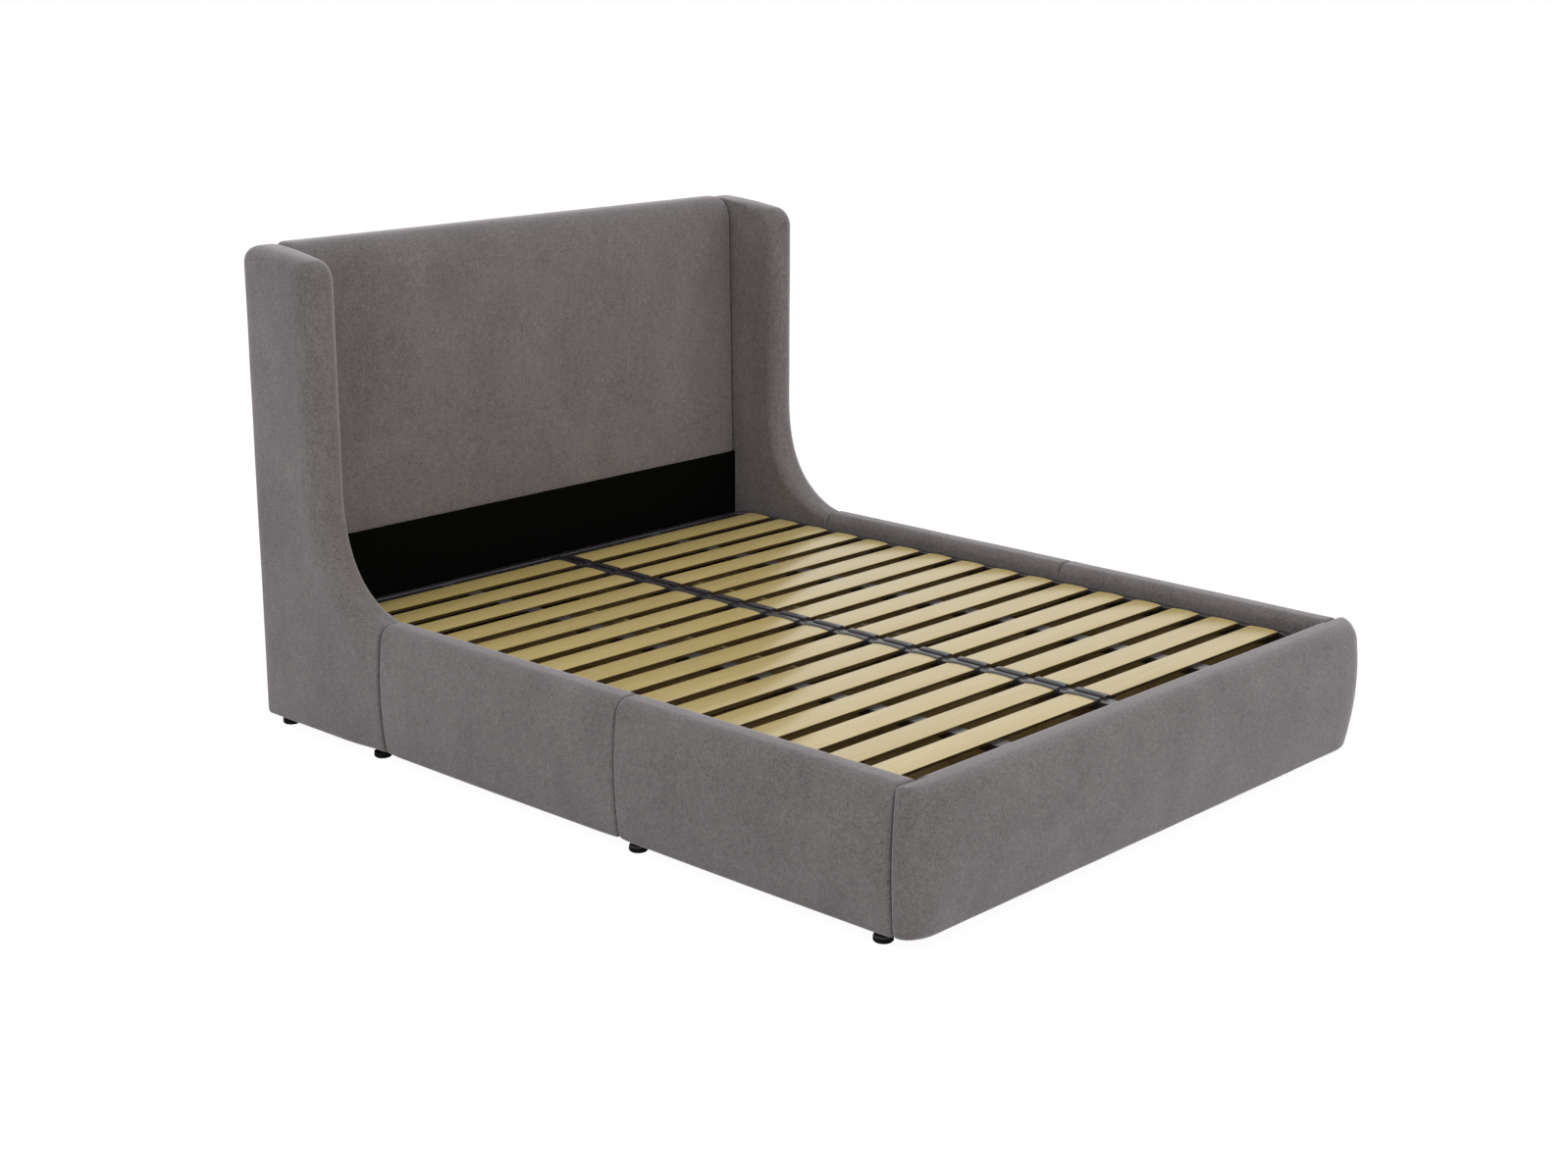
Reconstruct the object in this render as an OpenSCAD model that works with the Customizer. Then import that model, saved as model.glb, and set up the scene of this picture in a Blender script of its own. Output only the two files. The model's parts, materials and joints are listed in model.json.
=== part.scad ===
// Upholstered storage bed: a winged headboard, a padded footboard and two padded
// drawer fronts on each side, round a steel frame with two columns of slats.
// X runs across the bed, Y towards the head and Z up from the floor, in millimetres.

/* [Mattress] */
// Width of the mattress
mattress_w = 1600; // [1400:10:1800]
// Length of the mattress
mattress_l = 2000; // [1900:10:2100]
// Play on each side of the mattress
side_play = 12; // [8:1:30]
// Play along the mattress, both ends together
end_play = 104; // [80:1:130]

/* [Heights] */
// Slat tops above the floor
slat_top = 325; // [305:1:335]
// Padded sides above the floor
rail_top = 367; // [355:1:420]
// Headboard above the floor
headboard_top = 1300; // [1000:10:1500]
// How far the wings end below the headboard
wing_drop = 2; // [0:1:40]
// How far the top of a wing falls towards its front
wing_fall = 28; // [0:1:40]
// Top of the bare lining board above the floor
lining_top = 505; // [440:5:600]

/* [Headboard and wings] */
// Headboard depth at the mattress
headboard_t = 113; // [100:1:160]
// How far the headboard's face leans back at its top
headboard_lean = 15; // [0:1:25]
// How far the wings stand ahead of the headboard
wing_depth = 165; // [120:1:250]
// How far the feet of the wings reach ahead of the headboard
wing_reach = 391; // [330:1:450]
// How far above the sides the sweep of a wing starts
sweep_h = 320; // [250:5:400]
// How long the sweep keeps to the front of the wing
sweep_hold = 154; // [100:2:200]
// How long the sweep keeps to the top of the sides
sweep_run = 188; // [120:2:220]
// Slope of the sweep where it meets the sides
sweep_slope = 0.1; // [0:0.02:0.3]
// Front corner radius at the top of a wing
wing_r = 46; // [36:1:80]
// Rear corner radius at the top of a wing
wing_rear_r = 30; // [20:1:50]
// Depth of the rounding round a wing's outer face
wing_edge = 46; // [20:1:50]
// Width of the rounding round a wing's outer face
wing_edge_w = 50; // [25:1:55]
// Depth of the rounding round a wing's inner face
wing_inner_edge = 36; // [10:1:40]
// Width of the rounding round a wing's inner face
wing_inner_w = 38; // [10:1:40]
// Foam over the wing's core at its outline
wing_wrap = 36; // [25:1:40]

/* [Padded sides] */
// Thickness of the sides at their top and bottom
side_t = 88; // [80:1:120]
// Bulge of the sides at mid height
side_bulge = 15; // [5:1:25]
// Crown of a drawer front along its length
front_crown = 4; // [0:1:10]
// Outer top edge radius of the sides
top_r_out = 28; // [15:1:35]
// Inner top edge radius of the sides
top_r_in = 18; // [8:1:30]
// Bottom edge radius of the sides
bottom_r = 14; // [6:1:20]
// Corner radius at the ends of a drawer front
end_r = 8; // [5:1:20]
// How far the drawer fronts hang below the other padding
front_drop = 4; // [2:1:10]
// Length over which a drawer front's bottom edge rises to the seams
front_rise_l = 80; // [40:5:120]
// Height of that rise
front_rise = 6; // [3:0.5:8]
// Gap at the seams between padded pieces
seam_gap = 2.4; // [1.6:0.2:5]
// Length of the head drawer's front
head_front_l = 880; // [700:5:950]

/* [Footboard] */
// Footboard depth from the mattress well to its belly
footboard_t = 106; // [98:1:150]
// Part of that depth that stands past the drawer fronts
slab_t = 89; // [80:1:100]
// Height of the belly above the floor
belly_z = 235; // [180:5:260]
// How far the face draws in from the belly to the bottom edge
belly_draw = 26; // [10:1:35]
// Corner radius at the ends, seen from above
corner_r = 72; // [40:1:76]
// Top edge radius at the face
foot_r_out = 45; // [25:1:50]
// Top edge radius at the mattress
foot_r_in = 18; // [8:1:30]

/* [Slatted base] */
// Slat width
slat_w = 84; // [60:1:95]
// Slat thickness
slat_t = 8; // [6:1:12]
// Distance between slat centres
slat_pitch = 122; // [110:1:150]
// Headboard's face to the first slat's centre
first_slat = 137; // [110:1:160]
// Gap between the two columns of slats
centre_gap = 56; // [54:1:70]
// How far the middle of a slat stands above its edges
slat_camber = 2; // [0:0.5:3]
// Room between the side tubes and the slat ends
end_room = 2; // [1.5:0.1:4]
// Width of the frame tubes
tube_w = 22; // [20:1:30]
// Height of the frame tubes
tube_h = 39; // [32:1:42]
// Wall of the frame tubes
tube_skin = 1.5; // [1.2:0.1:2]
// Edge radius of the frame tubes
tube_r = 2.5; // [2.5:0.5:4]
// How far the frame tubes end below the slat tops
rim_drop = 3; // [2:0.5:5]
// Width of the centre rail
centre_w = 38; // [30:1:44]
// Height of the centre rail and the support bars
rail_h = 22; // [16:1:24]
// Width of the support bars
bar_w = 45; // [30:1:60]
// Outer radius of the bent frame corners
bend_r = 62; // [45:1:80]
// Play between the frame and the padded sides
frame_play = 6; // [4:1:12]
// Play between the frame and each end of the well
frame_end_play = 34; // [25:1:38]
// Thickness of a cap's base under its slat
cap_base = 4; // [3:0.5:6]
// Thickness of a centre cap above the rail
cap_wall = 20; // [14:1:24]
// How far a cap reaches under its slat
cap_reach = 32; // [20:1:45]
// How far the centre caps stand above the slats
cap_rise = 4; // [3:1:8]

/* [Drawers] */
// Depth of the head drawers' boxes
head_depth = 615; // [580:5:640]
// Room between the backs of the foot drawers' boxes
foot_backs = 72; // [60:2:400]
// Drawer box wall thickness
box_t = 12; // [9:0.5:15]
// Drawer bottom thickness
bottom_t = 6; // [4:0.5:9]
// Drawer bottom's hold in its grooves
groove = 5; // [3:0.5:7]
// Height of the box above the padded bottom edge
box_lift = 30; // [15:1:40]
// Room between the box and the frame above it
box_room = 6; // [5:1:20]
// Drawer front board thickness
board_t = 18; // [15:1:22]
// Padding over a front board's ends
end_wrap = 14; // [8:1:20]
// Padding over a front board's top edge
top_wrap = 18; // [12:1:30]
// Thickness of the padding on a front's inner face
lip_t = 4; // [3:0.5:6]
// Runner thickness between wall and box
runner_t = 13; // [12.5:0.5:16]
// Runner height
runner_h = 45; // [35:1:50]
// Runner length
runner_l = 550; // [450:10:560]
// Sheet thickness of the runners
runner_skin = 1.5; // [1.2:0.1:1.8]
// Gap between sliding runner members
runner_gap = 0.4; // [0.3:0.05:0.6]

/* [Carcass] */
// Cross wall thickness
wall_t = 18; // [15:1:22]
// Gap between the two middle cross walls
mid_bay = 31; // [20:1:60]
// Width of the centre beam
beam_w = 45; // [35:1:60]
// Height of the centre beam
beam_h = 60; // [40:1:90]
// Height of the bearers on the wings
bearer_h = 83; // [50:1:120]
// Depth of the ledge at the headboard
head_ledge = 60; // [45:1:80]
// Depth of the ledge at the footboard
foot_ledge = 50; // [35:1:60]
// Thickness of the headboard's posts
post_t = 45; // [35:1:50]
// Width of the headboard's posts
post_w = 70; // [50:1:90]
// Lining board thickness
lining_t = 12; // [9:1:18]
// Thickness of the board that backs the headboard's pad
backer_t = 15; // [12:1:18]
// Padding at the rear of the headboard
rear_wrap = 12; // [8:1:15]

/* [Feet] */
// Foot radius
foot_r = 23; // [15:1:26]
// Foot height under the steel straps
foot_h = 12; // [10:1:30]
// Steel strap thickness
strap_t = 3; // [3:0.5:6]
// Gap between the straps and the drawer fronts above them
strap_play = 3; // [2:0.5:6]
// Foot centres outside the mattress well
foot_out = 64; // [50:1:66]
// Rear foot centres ahead of the headboard's back
rear_foot_in = 64; // [55:1:100]
// Front foot centres behind the wings' seams
wing_foot_in = 39; // [35:1:80]
// Foremost foot centres behind the foot wall's middle
front_foot_in = 37; // [32:1:60]

/* [Hidden] */

fabric = [0.44, 0.42, 0.42];
pale_wood = [0.84, 0.76, 0.60];
ply = [0.60, 0.46, 0.28];
timber = [0.70, 0.58, 0.38];
black = [0.05, 0.05, 0.05];
steel_grey = [0.30, 0.29, 0.30];
zinc = [0.62, 0.63, 0.65];

joint_gap = 0.2;
soft_gap = 0.3;
cut = 1;

// Lengths along the bed
well_half = mattress_w / 2 + side_play;
well_l = mattress_l + end_play;
overall_l = headboard_t + well_l + footboard_t;
y_back = overall_l / 2;
y_head = y_back - headboard_t;
y_foot = y_head - well_l;
y_front = -y_back;
y_slab = y_front + slab_t;
y_wing = y_head - wing_reach;
y_mid = y_wing - head_front_l;

// Heights
z_wall = foot_h + strap_t;
z_front = z_wall + strap_play;
z_pad = z_front + front_drop;
z_slat = slat_top - slat_t;
z_rim = slat_top - rim_drop;
z_tube = z_rim - tube_h;
z_rail = z_rim - rail_h;
z_side_mid = (z_pad + rail_top) / 2;
z_side_half = (rail_top - z_pad) / 2;
lip_drop = 4;
z_lip = z_tube - lip_drop;
z_board = rail_top - top_wrap;
z_box = z_pad + box_lift;
z_box_top = z_tube - box_room;
groove_z = 10;
z_bottom = z_box + groove_z;
wing_top = headboard_top - wing_drop;

// Shared outlines
function arc(c, r, a0, a1, n) =
    [for (i = [0:n]) let (a = a0 + (a1 - a0) * i / n) [c.x + r.x * cos(a), c.y + r.y * sin(a)]];
function round_rect(x0, y0, x1, y1, r) = concat(
    arc([x0 + r, y0 + r], [r, r], 180, 270, 4),
    arc([x1 - r, y0 + r], [r, r], 270, 360, 4),
    arc([x1 - r, y1 - r], [r, r], 0, 90, 4),
    arc([x0 + r, y1 - r], [r, r], 90, 180, 4));

// Distance that a rounded edge of radius r draws in at depth d from the edge
function draw_in(d, r) = d >= r ? 0 : r - sqrt(max(0, r * r - (r - d) * (r - d)));
function side_out(z) = side_t + side_bulge * (1 - pow((z - z_side_mid) / z_side_half, 2));
function side_reach(z) = side_out(z) - draw_in(z - z_pad, bottom_r) - draw_in(rail_top - z, top_r_out);
function belly(z) = belly_draw * pow((z - belly_z) / (belly_z - z_pad), 2);
function foot_front(z) =
    y_front + belly(z) + draw_in(z - z_pad, bottom_r) + draw_in(rail_top - z, foot_r_out);
function foot_inner(z) = y_foot - draw_in(rail_top - z, foot_r_in);

// Skin through rings of equal length; ring points run anticlockwise seen from the last ring
module skin(rings) {
    n = len(rings[0]);
    m = len(rings);
    points = [for (ring = rings) for (p = ring) p];
    sides = [for (k = [0:m - 2]) for (i = [0:n - 1]) for (half = [0:1])
        let (j = (i + 1) % n, a = k * n + i, b = k * n + j, c = (k + 1) * n + j, d = (k + 1) * n + i)
        half == 0 ? [a, c, b] : [a, d, c]];
    polyhedron(points, concat(sides, [[for (i = [0:n - 1]) i]], [[for (i = [n - 1:-1:0]) (m - 1) * n + i]]));
}

module along_y(y0, y1) {
    translate([0, y1, 0]) rotate([90, 0, 0]) linear_extrude(y1 - y0) children();
}

module along_x(x0, x1) {
    translate([x0, 0, 0]) rotate([90, 0, 90]) linear_extrude(x1 - x0) children();
}

module box(low, high) {
    translate(low) cube(high - low);
}

module tube_section(low, high) {
    difference() {
        polygon(round_rect(low.x, low.y, high.x, high.y, tube_r));
        polygon(round_rect(low.x + tube_skin, low.y + tube_skin, high.x - tube_skin, high.y - tube_skin,
            tube_r - tube_skin));
    }
}

module each_side(left = true) {
    if (left) mirror([1, 0, 0]) children();
    else children();
}

module both_sides() {
    each_side(true) children();
    each_side(false) children();
}

// Headboard
headboard_half = well_half - soft_gap;
backer_inset = 42;
cavity_top = headboard_top - 45;
y_frame = y_back - rear_wrap - post_t;
y_backer = y_frame - backer_t;

function headboard_ring(y, e, crown) = [for (p = round_rect(
    -headboard_half + e, lining_top + e / 2, headboard_half - e, headboard_top - e, max(4, 14 - e / 2)))
    [p.x, y - crown + headboard_lean * (p.y - lining_top) / (headboard_top - lining_top), p.y]];

function headboard_rear_ring(y, e) = [for (p = round_rect(
    -headboard_half + e, lining_top + e / 2, headboard_half - e, headboard_top - e, max(4, 14 - e / 2)))
    [p.x, y, p.y]];

module headboard_pad() {
    edge = 30;
    color(fabric) difference() {
        skin(concat(
            [for (a = [0:22.5:90])
                headboard_rear_ring(y_back - edge / 2 * (1 - cos(a)), edge / 2 * (1 - sin(a)))],
            [for (a = [0:15:75]) headboard_ring(y_head + edge * (1 - sin(a)), edge * (1 - cos(a)), 0)],
            [for (e = [edge, 3 * edge, 6 * edge, 10 * edge]) headboard_ring(y_head, e, 6 - 180 / e)]));
        headboard_cavity();
    }
}

module headboard_cavity() {
    box([-well_half + backer_inset, y_backer, lining_top - cut],
        [well_half - backer_inset, y_back - rear_wrap, cavity_top]);
}

module headboard_backer() {
    color(ply) box([-well_half + backer_inset, y_backer, lining_top],
        [well_half - backer_inset, y_frame, cavity_top]);
}

module headboard_frame() {
    post_x = well_half - backer_inset - post_w;
    color(timber) {
        both_sides() {
            box([post_x, y_frame, z_pad], [post_x + post_w, y_frame + post_t, cavity_top]);
            box([post_x, y_head + lining_t, z_side_mid], [post_x + post_w, y_frame, rail_top]);
        }
        for (top = [cavity_top, lining_top, z_side_mid])
            box([-post_x, y_frame, top - post_w], [post_x, y_frame + post_t, top]);
    }
}

module lining_board() {
    color(black) box([-headboard_half, y_head, z_side_mid - bearer_h],
        [headboard_half, y_head + lining_t, lining_top]);
}

module rear_panel() {
    color(fabric) box([-headboard_half, y_back - rear_wrap, z_pad], [headboard_half, y_back, lining_top]);
}

// Wings: the outline is drawn in by the share u of six depths: at the rear, the top's rear end,
// the front, the sweep's lower end, the seam and the foot
wing_t = side_t + side_bulge;
outer_depths = [22, 40, wing_edge, top_r_out, 6, bottom_r];
inner_depths = [4, 4, wing_inner_edge, top_r_in, 4, 2];
core_depths = [wing_wrap * 0.6, wing_wrap, wing_wrap, wing_wrap, wing_wrap / 4, wing_wrap * 0.4];

function bezier(a, b, c, d, t) =
    pow(1 - t, 3) * a + 3 * t * pow(1 - t, 2) * b + 3 * t * t * (1 - t) * c + pow(t, 3) * d;
function inward(a, b, c, d, t) =
    let (v = pow(1 - t, 2) * (b - a) + 2 * t * (1 - t) * (c - b) + t * t * (d - c)) [-v.y, v.x] / norm(v);

function wing_crest(y, u, depths) = let (ahead = max(0, y_back - y) / (headboard_t + wing_depth))
    wing_top - wing_fall * pow(ahead, 1.6) - u * (depths[1] + (depths[2] - depths[1]) * pow(ahead, 2.5));

function wing_corner(y, r, u, depths, a0, a1) =
    [for (i = [0:6]) let (a = a0 + (a1 - a0) * i / 6, y_a = y + r * cos(a))
        [y_a, wing_crest(y_a, u, depths) - r * (1 - sin(a))]];

function wing_outline(u, depths) = let (
    tight = pow(u, 3),
    y_r = y_back - depths[0] * u * u,
    y_f = y_head - wing_depth + depths[2] * u,
    y_s = y_wing + seam_gap / 2 + depths[4] * tight,
    z_b = z_pad + depths[5] * tight,
    r = wing_r - depths[2] * u / 2,
    start = [y_head - wing_depth, rail_top + sweep_h],
    end = [y_wing + seam_gap / 2, rail_top],
    hold = start - [0, sweep_hold],
    run = end + sweep_run * [1, sweep_slope],
    y_0 = y_r - wing_rear_r,
    y_1 = y_f + r,
    foot = 10)
    concat(
        arc([y_r - foot, z_b + foot], [foot, foot], 270, 360, 3),
        wing_corner(y_0, wing_rear_r, u, depths, 0, 90),
        [for (i = [1:4]) let (y = y_0 + (y_1 - y_0) * i / 5) [y, wing_crest(y, u, depths)]],
        wing_corner(y_1, r, u, depths, 90, 180),
        [for (i = [0:16]) let (
            t = i / 16,
            drawn = u * (depths[2] + (depths[3] - depths[2]) * t),
            p = bezier(start, hold, run, end, t) + drawn * inward(start, hold, run, end, t))
            [max(p.x, y_s), p.y]],
        arc([y_s + foot, z_b + foot], [foot, foot], 180, 270, 3));

function wing_ring(s, u, depths) = [for (p = wing_outline(u, depths)) [well_half + s, p.x, p.y]];

wing_core_s = 50;

module wing_pad_form() {
    dome = 2;
    difference() {
        skin(concat(
            [for (a = [0:22.5:90]) wing_ring(wing_inner_w * (1 - cos(a)), 1 - sin(a), inner_depths)],
            [for (a = [0:15:75])
                wing_ring(wing_t - dome - wing_edge_w * (1 - sin(a)), 1 - cos(a), outer_depths)],
            [wing_ring(wing_t - dome, 1, outer_depths), wing_ring(wing_t, 1.4, outer_depths)]));
        wing_core_form(cut);
    }
}

module wing_core_form(below = 0) {
    along_x(well_half + wing_core_s, well_half + wing_core_s + wall_t) polygon(wing_outline(1, core_depths));
    box([well_half + wing_core_s, y_wing + wing_wrap / 2, z_wall - below],
        [well_half + wing_core_s + wall_t, y_back - wing_wrap, z_side_mid]);
}

module wing_left_pad() {
    color(fabric) each_side(true) wing_pad_form();
}

module wing_right_pad() {
    color(fabric) each_side(false) wing_pad_form();
}

module wing_left_core() {
    color(ply) each_side(true) wing_core_form();
}

module wing_right_core() {
    color(ply) each_side(false) wing_core_form();
}

module wing_bearers() {
    color(black) both_sides()
        box([well_half - wall_t, y_wing, z_tube - bearer_h], [well_half, y_head, z_tube]);
}

// Footboard: plan rings stacked by height, cut back to a tongue between the drawer fronts
foot_tongue = well_half - 1;
y_core = y_slab - 14;
core_half = well_half + side_t - 40;
z_core = rail_top - foot_r_out;

function foot_ring(z) = let (
    x_e = well_half + side_reach(z),
    y_f = foot_front(z),
    r_y = min(corner_r, (y_slab - y_f) * 0.9))
    [for (p = concat(
        [[-x_e, foot_inner(z)]],
        arc([-x_e + corner_r, y_f + r_y], [corner_r, r_y], 180, 270, 7),
        arc([x_e - corner_r, y_f + r_y], [corner_r, r_y], 270, 360, 7),
        [[x_e, foot_inner(z)]])) [p.x, p.y, z]];

module footboard_pad() {
    barrel_steps = 7;
    z_low = z_pad + bottom_r;
    z_high = rail_top - foot_r_out;
    color(fabric) difference() {
        skin(concat(
            [for (a = [0:22.5:67.5]) foot_ring(z_pad + bottom_r * (1 - cos(a)))],
            [for (i = [0:barrel_steps]) foot_ring(z_low + (z_high - z_low) * i / barrel_steps)],
            [for (a = [15:15:90]) foot_ring(z_high + foot_r_out * sin(a))]));
        both_sides() box([foot_tongue, y_slab - seam_gap / 2, z_pad - cut],
            [well_half + 2 * side_t, y_foot + cut, rail_top + cut]);
        box([-foot_tongue - cut, y_core - cut, z_pad - cut], [foot_tongue + cut, y_foot + cut, z_tube]);
        box([-core_half, y_core - wall_t, z_pad - 2 * cut], [core_half, y_core, z_core]);
        box([-wall_half, y_foot_wall, z_tube - cut], [wall_half, y_foot_wall + wall_t, z_board]);
    }
}

module footboard_core() {
    color(ply) box([-core_half, y_core - wall_t, z_pad], [core_half, y_core, z_core]);
}

module footboard_battens() {
    batten_w = 60;
    batten_out = well_half - beam_h - batten_w;
    color(timber) for (x = [-batten_out, 0, batten_out])
        box([x - batten_w / 2, y_core, z_wall + beam_w],
            [x + batten_w / 2, y_foot - lip_t - wall_t, z_box_top - cut]);
}

// Cross walls carry the runners and the steel frame
wall_half = well_half - lip_t;
y_head_wall = y_wing - wall_t;
y_mid_wall_head = y_mid - wall_t / 2;
y_mid_wall_foot = y_mid_wall_head - mid_bay - wall_t;
y_foot_wall = y_foot - lip_t - wall_t;

module cross_wall(y0) {
    color(ply) difference() {
        box([-wall_half, y0, z_wall], [wall_half, y0 + wall_t, z_tube]);
        box([-beam_w / 2, y0 - cut, z_tube - beam_h], [beam_w / 2, y0 + wall_t + cut, z_tube + cut]);
    }
}

module head_wall() {
    cross_wall(y_head_wall);
}

module mid_wall_head() {
    cross_wall(y_mid_wall_head);
}

module mid_wall_foot() {
    cross_wall(y_mid_wall_foot);
}

module foot_wall() {
    color(ply) box([-wall_half, y_foot_wall, z_wall], [wall_half, y_foot_wall + wall_t, z_board]);
}

module end_ledges() {
    // Timber at the headboard, steel angles over the drawer boxes at the footboard
    angle_t = box_room - cut;
    angle_h = foot_ledge / 2;
    y_angle = y_foot - lip_t;
    color(black) both_sides() {
        box([beam_w / 2, y_head - head_ledge, z_tube - beam_h], [well_half - wall_t, y_head, z_tube]);
        box([beam_w / 2, y_angle, z_tube - angle_t], [wall_half, y_angle + foot_ledge, z_tube]);
        box([beam_w / 2, y_angle, z_tube - angle_h], [wall_half, y_angle + angle_t, z_tube]);
    }
}

module centre_beam() {
    color(ply) {
        box([-beam_w / 2, y_foot - lip_t, z_tube - beam_h], [beam_w / 2, y_head, z_tube]);
        box([-beam_w / 2, y_frame_foot + tube_w, z_tube - cut], [beam_w / 2, y_frame_head - tube_w, z_rail]);
    }
}

leg_spots = [(y_head_wall + y_mid_wall_head + wall_t) / 2, (y_mid_wall_foot + y_foot_wall + wall_t) / 2];

module centre_legs() {
    leg_r = 15;
    plate = beam_w / 2;
    color(steel_grey) for (y = leg_spots) {
        translate([0, y, z_wall]) cylinder(h = z_tube - beam_h - strap_t - z_wall, r = leg_r, $fn = 48);
        box([-plate, y - plate, z_tube - beam_h - strap_t], [plate, y + plate, z_tube - beam_h]);
    }
}

// Angle brackets in the corners between the beam and the cross walls of the head drawers
bracket_l = 40;
bolt_z = z_tube - bracket_l;

module at_brackets() {
    both_sides() {
        translate([beam_w / 2, y_head_wall, bolt_z]) children();
        translate([beam_w / 2, y_mid_wall_head + wall_t, bolt_z]) mirror([0, 1, 0]) children();
    }
}

module angle_brackets() {
    color(zinc) at_brackets() translate([0, 0, -bracket_l / 4]) {
        box([0, -bracket_l, 0], [strap_t, 0, bracket_l / 2]);
        box([0, -strap_t, 0], [bracket_l, 0, bracket_l / 2]);
    }
}

module bracket_bolts() {
    head_r = 6;
    head_h = 5;
    out = bracket_l * 0.6;
    color(zinc) at_brackets() {
        translate([strap_t, -out, 0]) rotate([0, 90, 0]) cylinder(h = head_h, r = head_r, $fn = 32);
        translate([out, -strap_t, 0]) rotate([90, 0, 0]) cylinder(h = head_h, r = head_r, $fn = 32);
    }
}

// Feet
foot_x = well_half + foot_out;
strap_spots = [
    [y_mid_wall_foot + wall_t / 2, 0],
    [y_foot_wall + wall_t / 2 + front_foot_in, front_foot_in]];

module foot(h, r) {
    chamfer = 3;
    rotate_extrude($fn = 48) polygon([[0, 0], [r - chamfer, 0], [r, chamfer], [r, h], [0, h]]);
}

module side_feet() {
    color(black) both_sides() {
        for (y = [y_back - rear_foot_in, y_wing + wing_foot_in])
            translate([foot_x, y, 0]) foot(z_wall, foot_r);
        for (spot = strap_spots) translate([foot_x, spot[0], 0]) foot(foot_h, foot_r);
    }
}

module inner_feet() {
    inner_r = 16;
    inner_x = 180;
    color(black) {
        both_sides() for (y = [y_head_wall, y_mid_wall_head, y_mid_wall_foot, y_foot_wall])
            translate([inner_x, y + wall_t / 2, 0]) foot(z_wall, inner_r);
        for (y = leg_spots) translate([0, y, 0]) foot(z_wall, inner_r);
    }
}

module foot_strap(heel) {
    // A bar with a round end over its foot, and a heel that reaches back under the cross wall
    strap_l = 200;
    heel_l = 100;
    half = 15;
    end_r = foot_r - 1;
    bend = 180 - asin(half / end_r);
    root = foot_r - strap_l;
    linear_extrude(strap_t) polygon(concat(
        [[root, -half - heel]],
        heel > 0 ? [[root + heel_l, -half - heel], [root + heel_l, -half]] : [],
        arc([0, 0], [end_r, end_r], -bend, bend, 24),
        [[root, half]]));
}

module foot_straps() {
    color(black) both_sides() for (spot = strap_spots)
        translate([foot_x, spot[0], foot_h]) foot_strap(spot[1]);
}

// Steel frame
frame_half = well_half - frame_play;
y_frame_head = y_head - frame_end_play;
y_frame_foot = y_foot + frame_end_play;
tip_in = centre_gap / 2;
tip_out = frame_half - tube_w - end_room;
column_x = (tip_in + tip_out) / 2;

module frame_side_tubes() {
    color(steel_grey) both_sides() along_y(y_frame_foot + bend_r, y_frame_head - bend_r)
        tube_section([frame_half - tube_w, z_tube], [frame_half, z_rim]);
}

module end_tube() {
    // Drawn for the head end, with its outer edge on y = 0
    along_x(-frame_half + bend_r, frame_half - bend_r) tube_section([-tube_w, z_tube], [0, z_rim]);
    both_sides() translate([frame_half - bend_r, -bend_r, 0])
        rotate_extrude(angle = 90, $fn = 64) tube_section([bend_r - tube_w, z_tube], [bend_r, z_rim]);
}

module frame_head_tube() {
    color(steel_grey) translate([0, y_frame_head, 0]) end_tube();
}

module frame_foot_tube() {
    color(steel_grey) translate([0, y_frame_foot, 0]) mirror([0, 1, 0]) end_tube();
}

module long_bar(x, z_top, w) {
    along_y(y_frame_foot + tube_w, y_frame_head - tube_w)
        tube_section([x - w / 2, z_top - rail_h], [x + w / 2, z_top]);
}

module centre_rail() {
    color(steel_grey) long_bar(0, z_rim, centre_w);
}

module support_bars() {
    color(steel_grey) both_sides() long_bar(column_x, z_slat, bar_w);
}

// Slats and their caps
y_first = y_head - first_slat;
slat_count = floor((y_first - (y_frame_foot + tube_w) - slat_w / 2) / slat_pitch) + 1;
slat_spots = [for (i = [0:slat_count - 1]) y_first - i * slat_pitch];

// Cambered line with a flat crest, from y = half to y = -half, in n straight parts
function camber(half, z_edge, n = 7) = [for (i = [n:-2:-n]) let (a = i / n)
    [a * half, z_edge + slat_camber * (1 - a * a) / (1 - 1 / (n * n))]];

module slat_column() {
    half = slat_w / 2;
    for (y = slat_spots) translate([0, y, 0]) along_x(tip_in, tip_out)
        polygon(concat([[-half, z_slat], [half, z_slat]], camber(half, slat_top)));
}

module slats_left() {
    color(pale_wood) each_side(true) slat_column();
}

module slats_right() {
    color(pale_wood) each_side(false) slat_column();
}

// Caps, drawn with the slat's end at x = 0, the slat towards +x and its centre at y = 0
cap_half = slat_w / 2 + 3;
z_cap = z_slat - cap_base;

module cap_plate(reach_back) {
    plate_half = slat_w / 2 - 2;
    box([-reach_back, -plate_half, z_cap], [cap_reach, plate_half, z_slat]);
}

module centre_cap() {
    wall_in = -soft_gap - cap_wall;
    rail_side = (centre_w - centre_gap) / 2;
    crown = [cap_wall / 2, 5];
    z_edge = slat_top + cap_rise;
    intersection() {
        along_y(-cap_half, cap_half) polygon(concat(
            [[-soft_gap, z_cap]],
            arc([-soft_gap - crown.x, z_edge + slat_camber - crown.y], crown, 0, 180, 8),
            [[wall_in, z_rim], [rail_side, z_rim], [rail_side, z_cap]]));
        along_x(wall_in - cut, cut) polygon(concat([[-cap_half, z_cap - cut], [cap_half, z_cap - cut]],
            camber(cap_half, z_edge)));
    }
    cap_plate(soft_gap + cut);
}

module centre_caps() {
    color(steel_grey) both_sides() for (y = slat_spots) translate([tip_in, y, 0]) centre_cap();
}

module outer_cap() {
    box([-end_room, -cap_half, z_cap], [-soft_gap, cap_half, z_rim - cut]);
    cap_plate(end_room);
}

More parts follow.
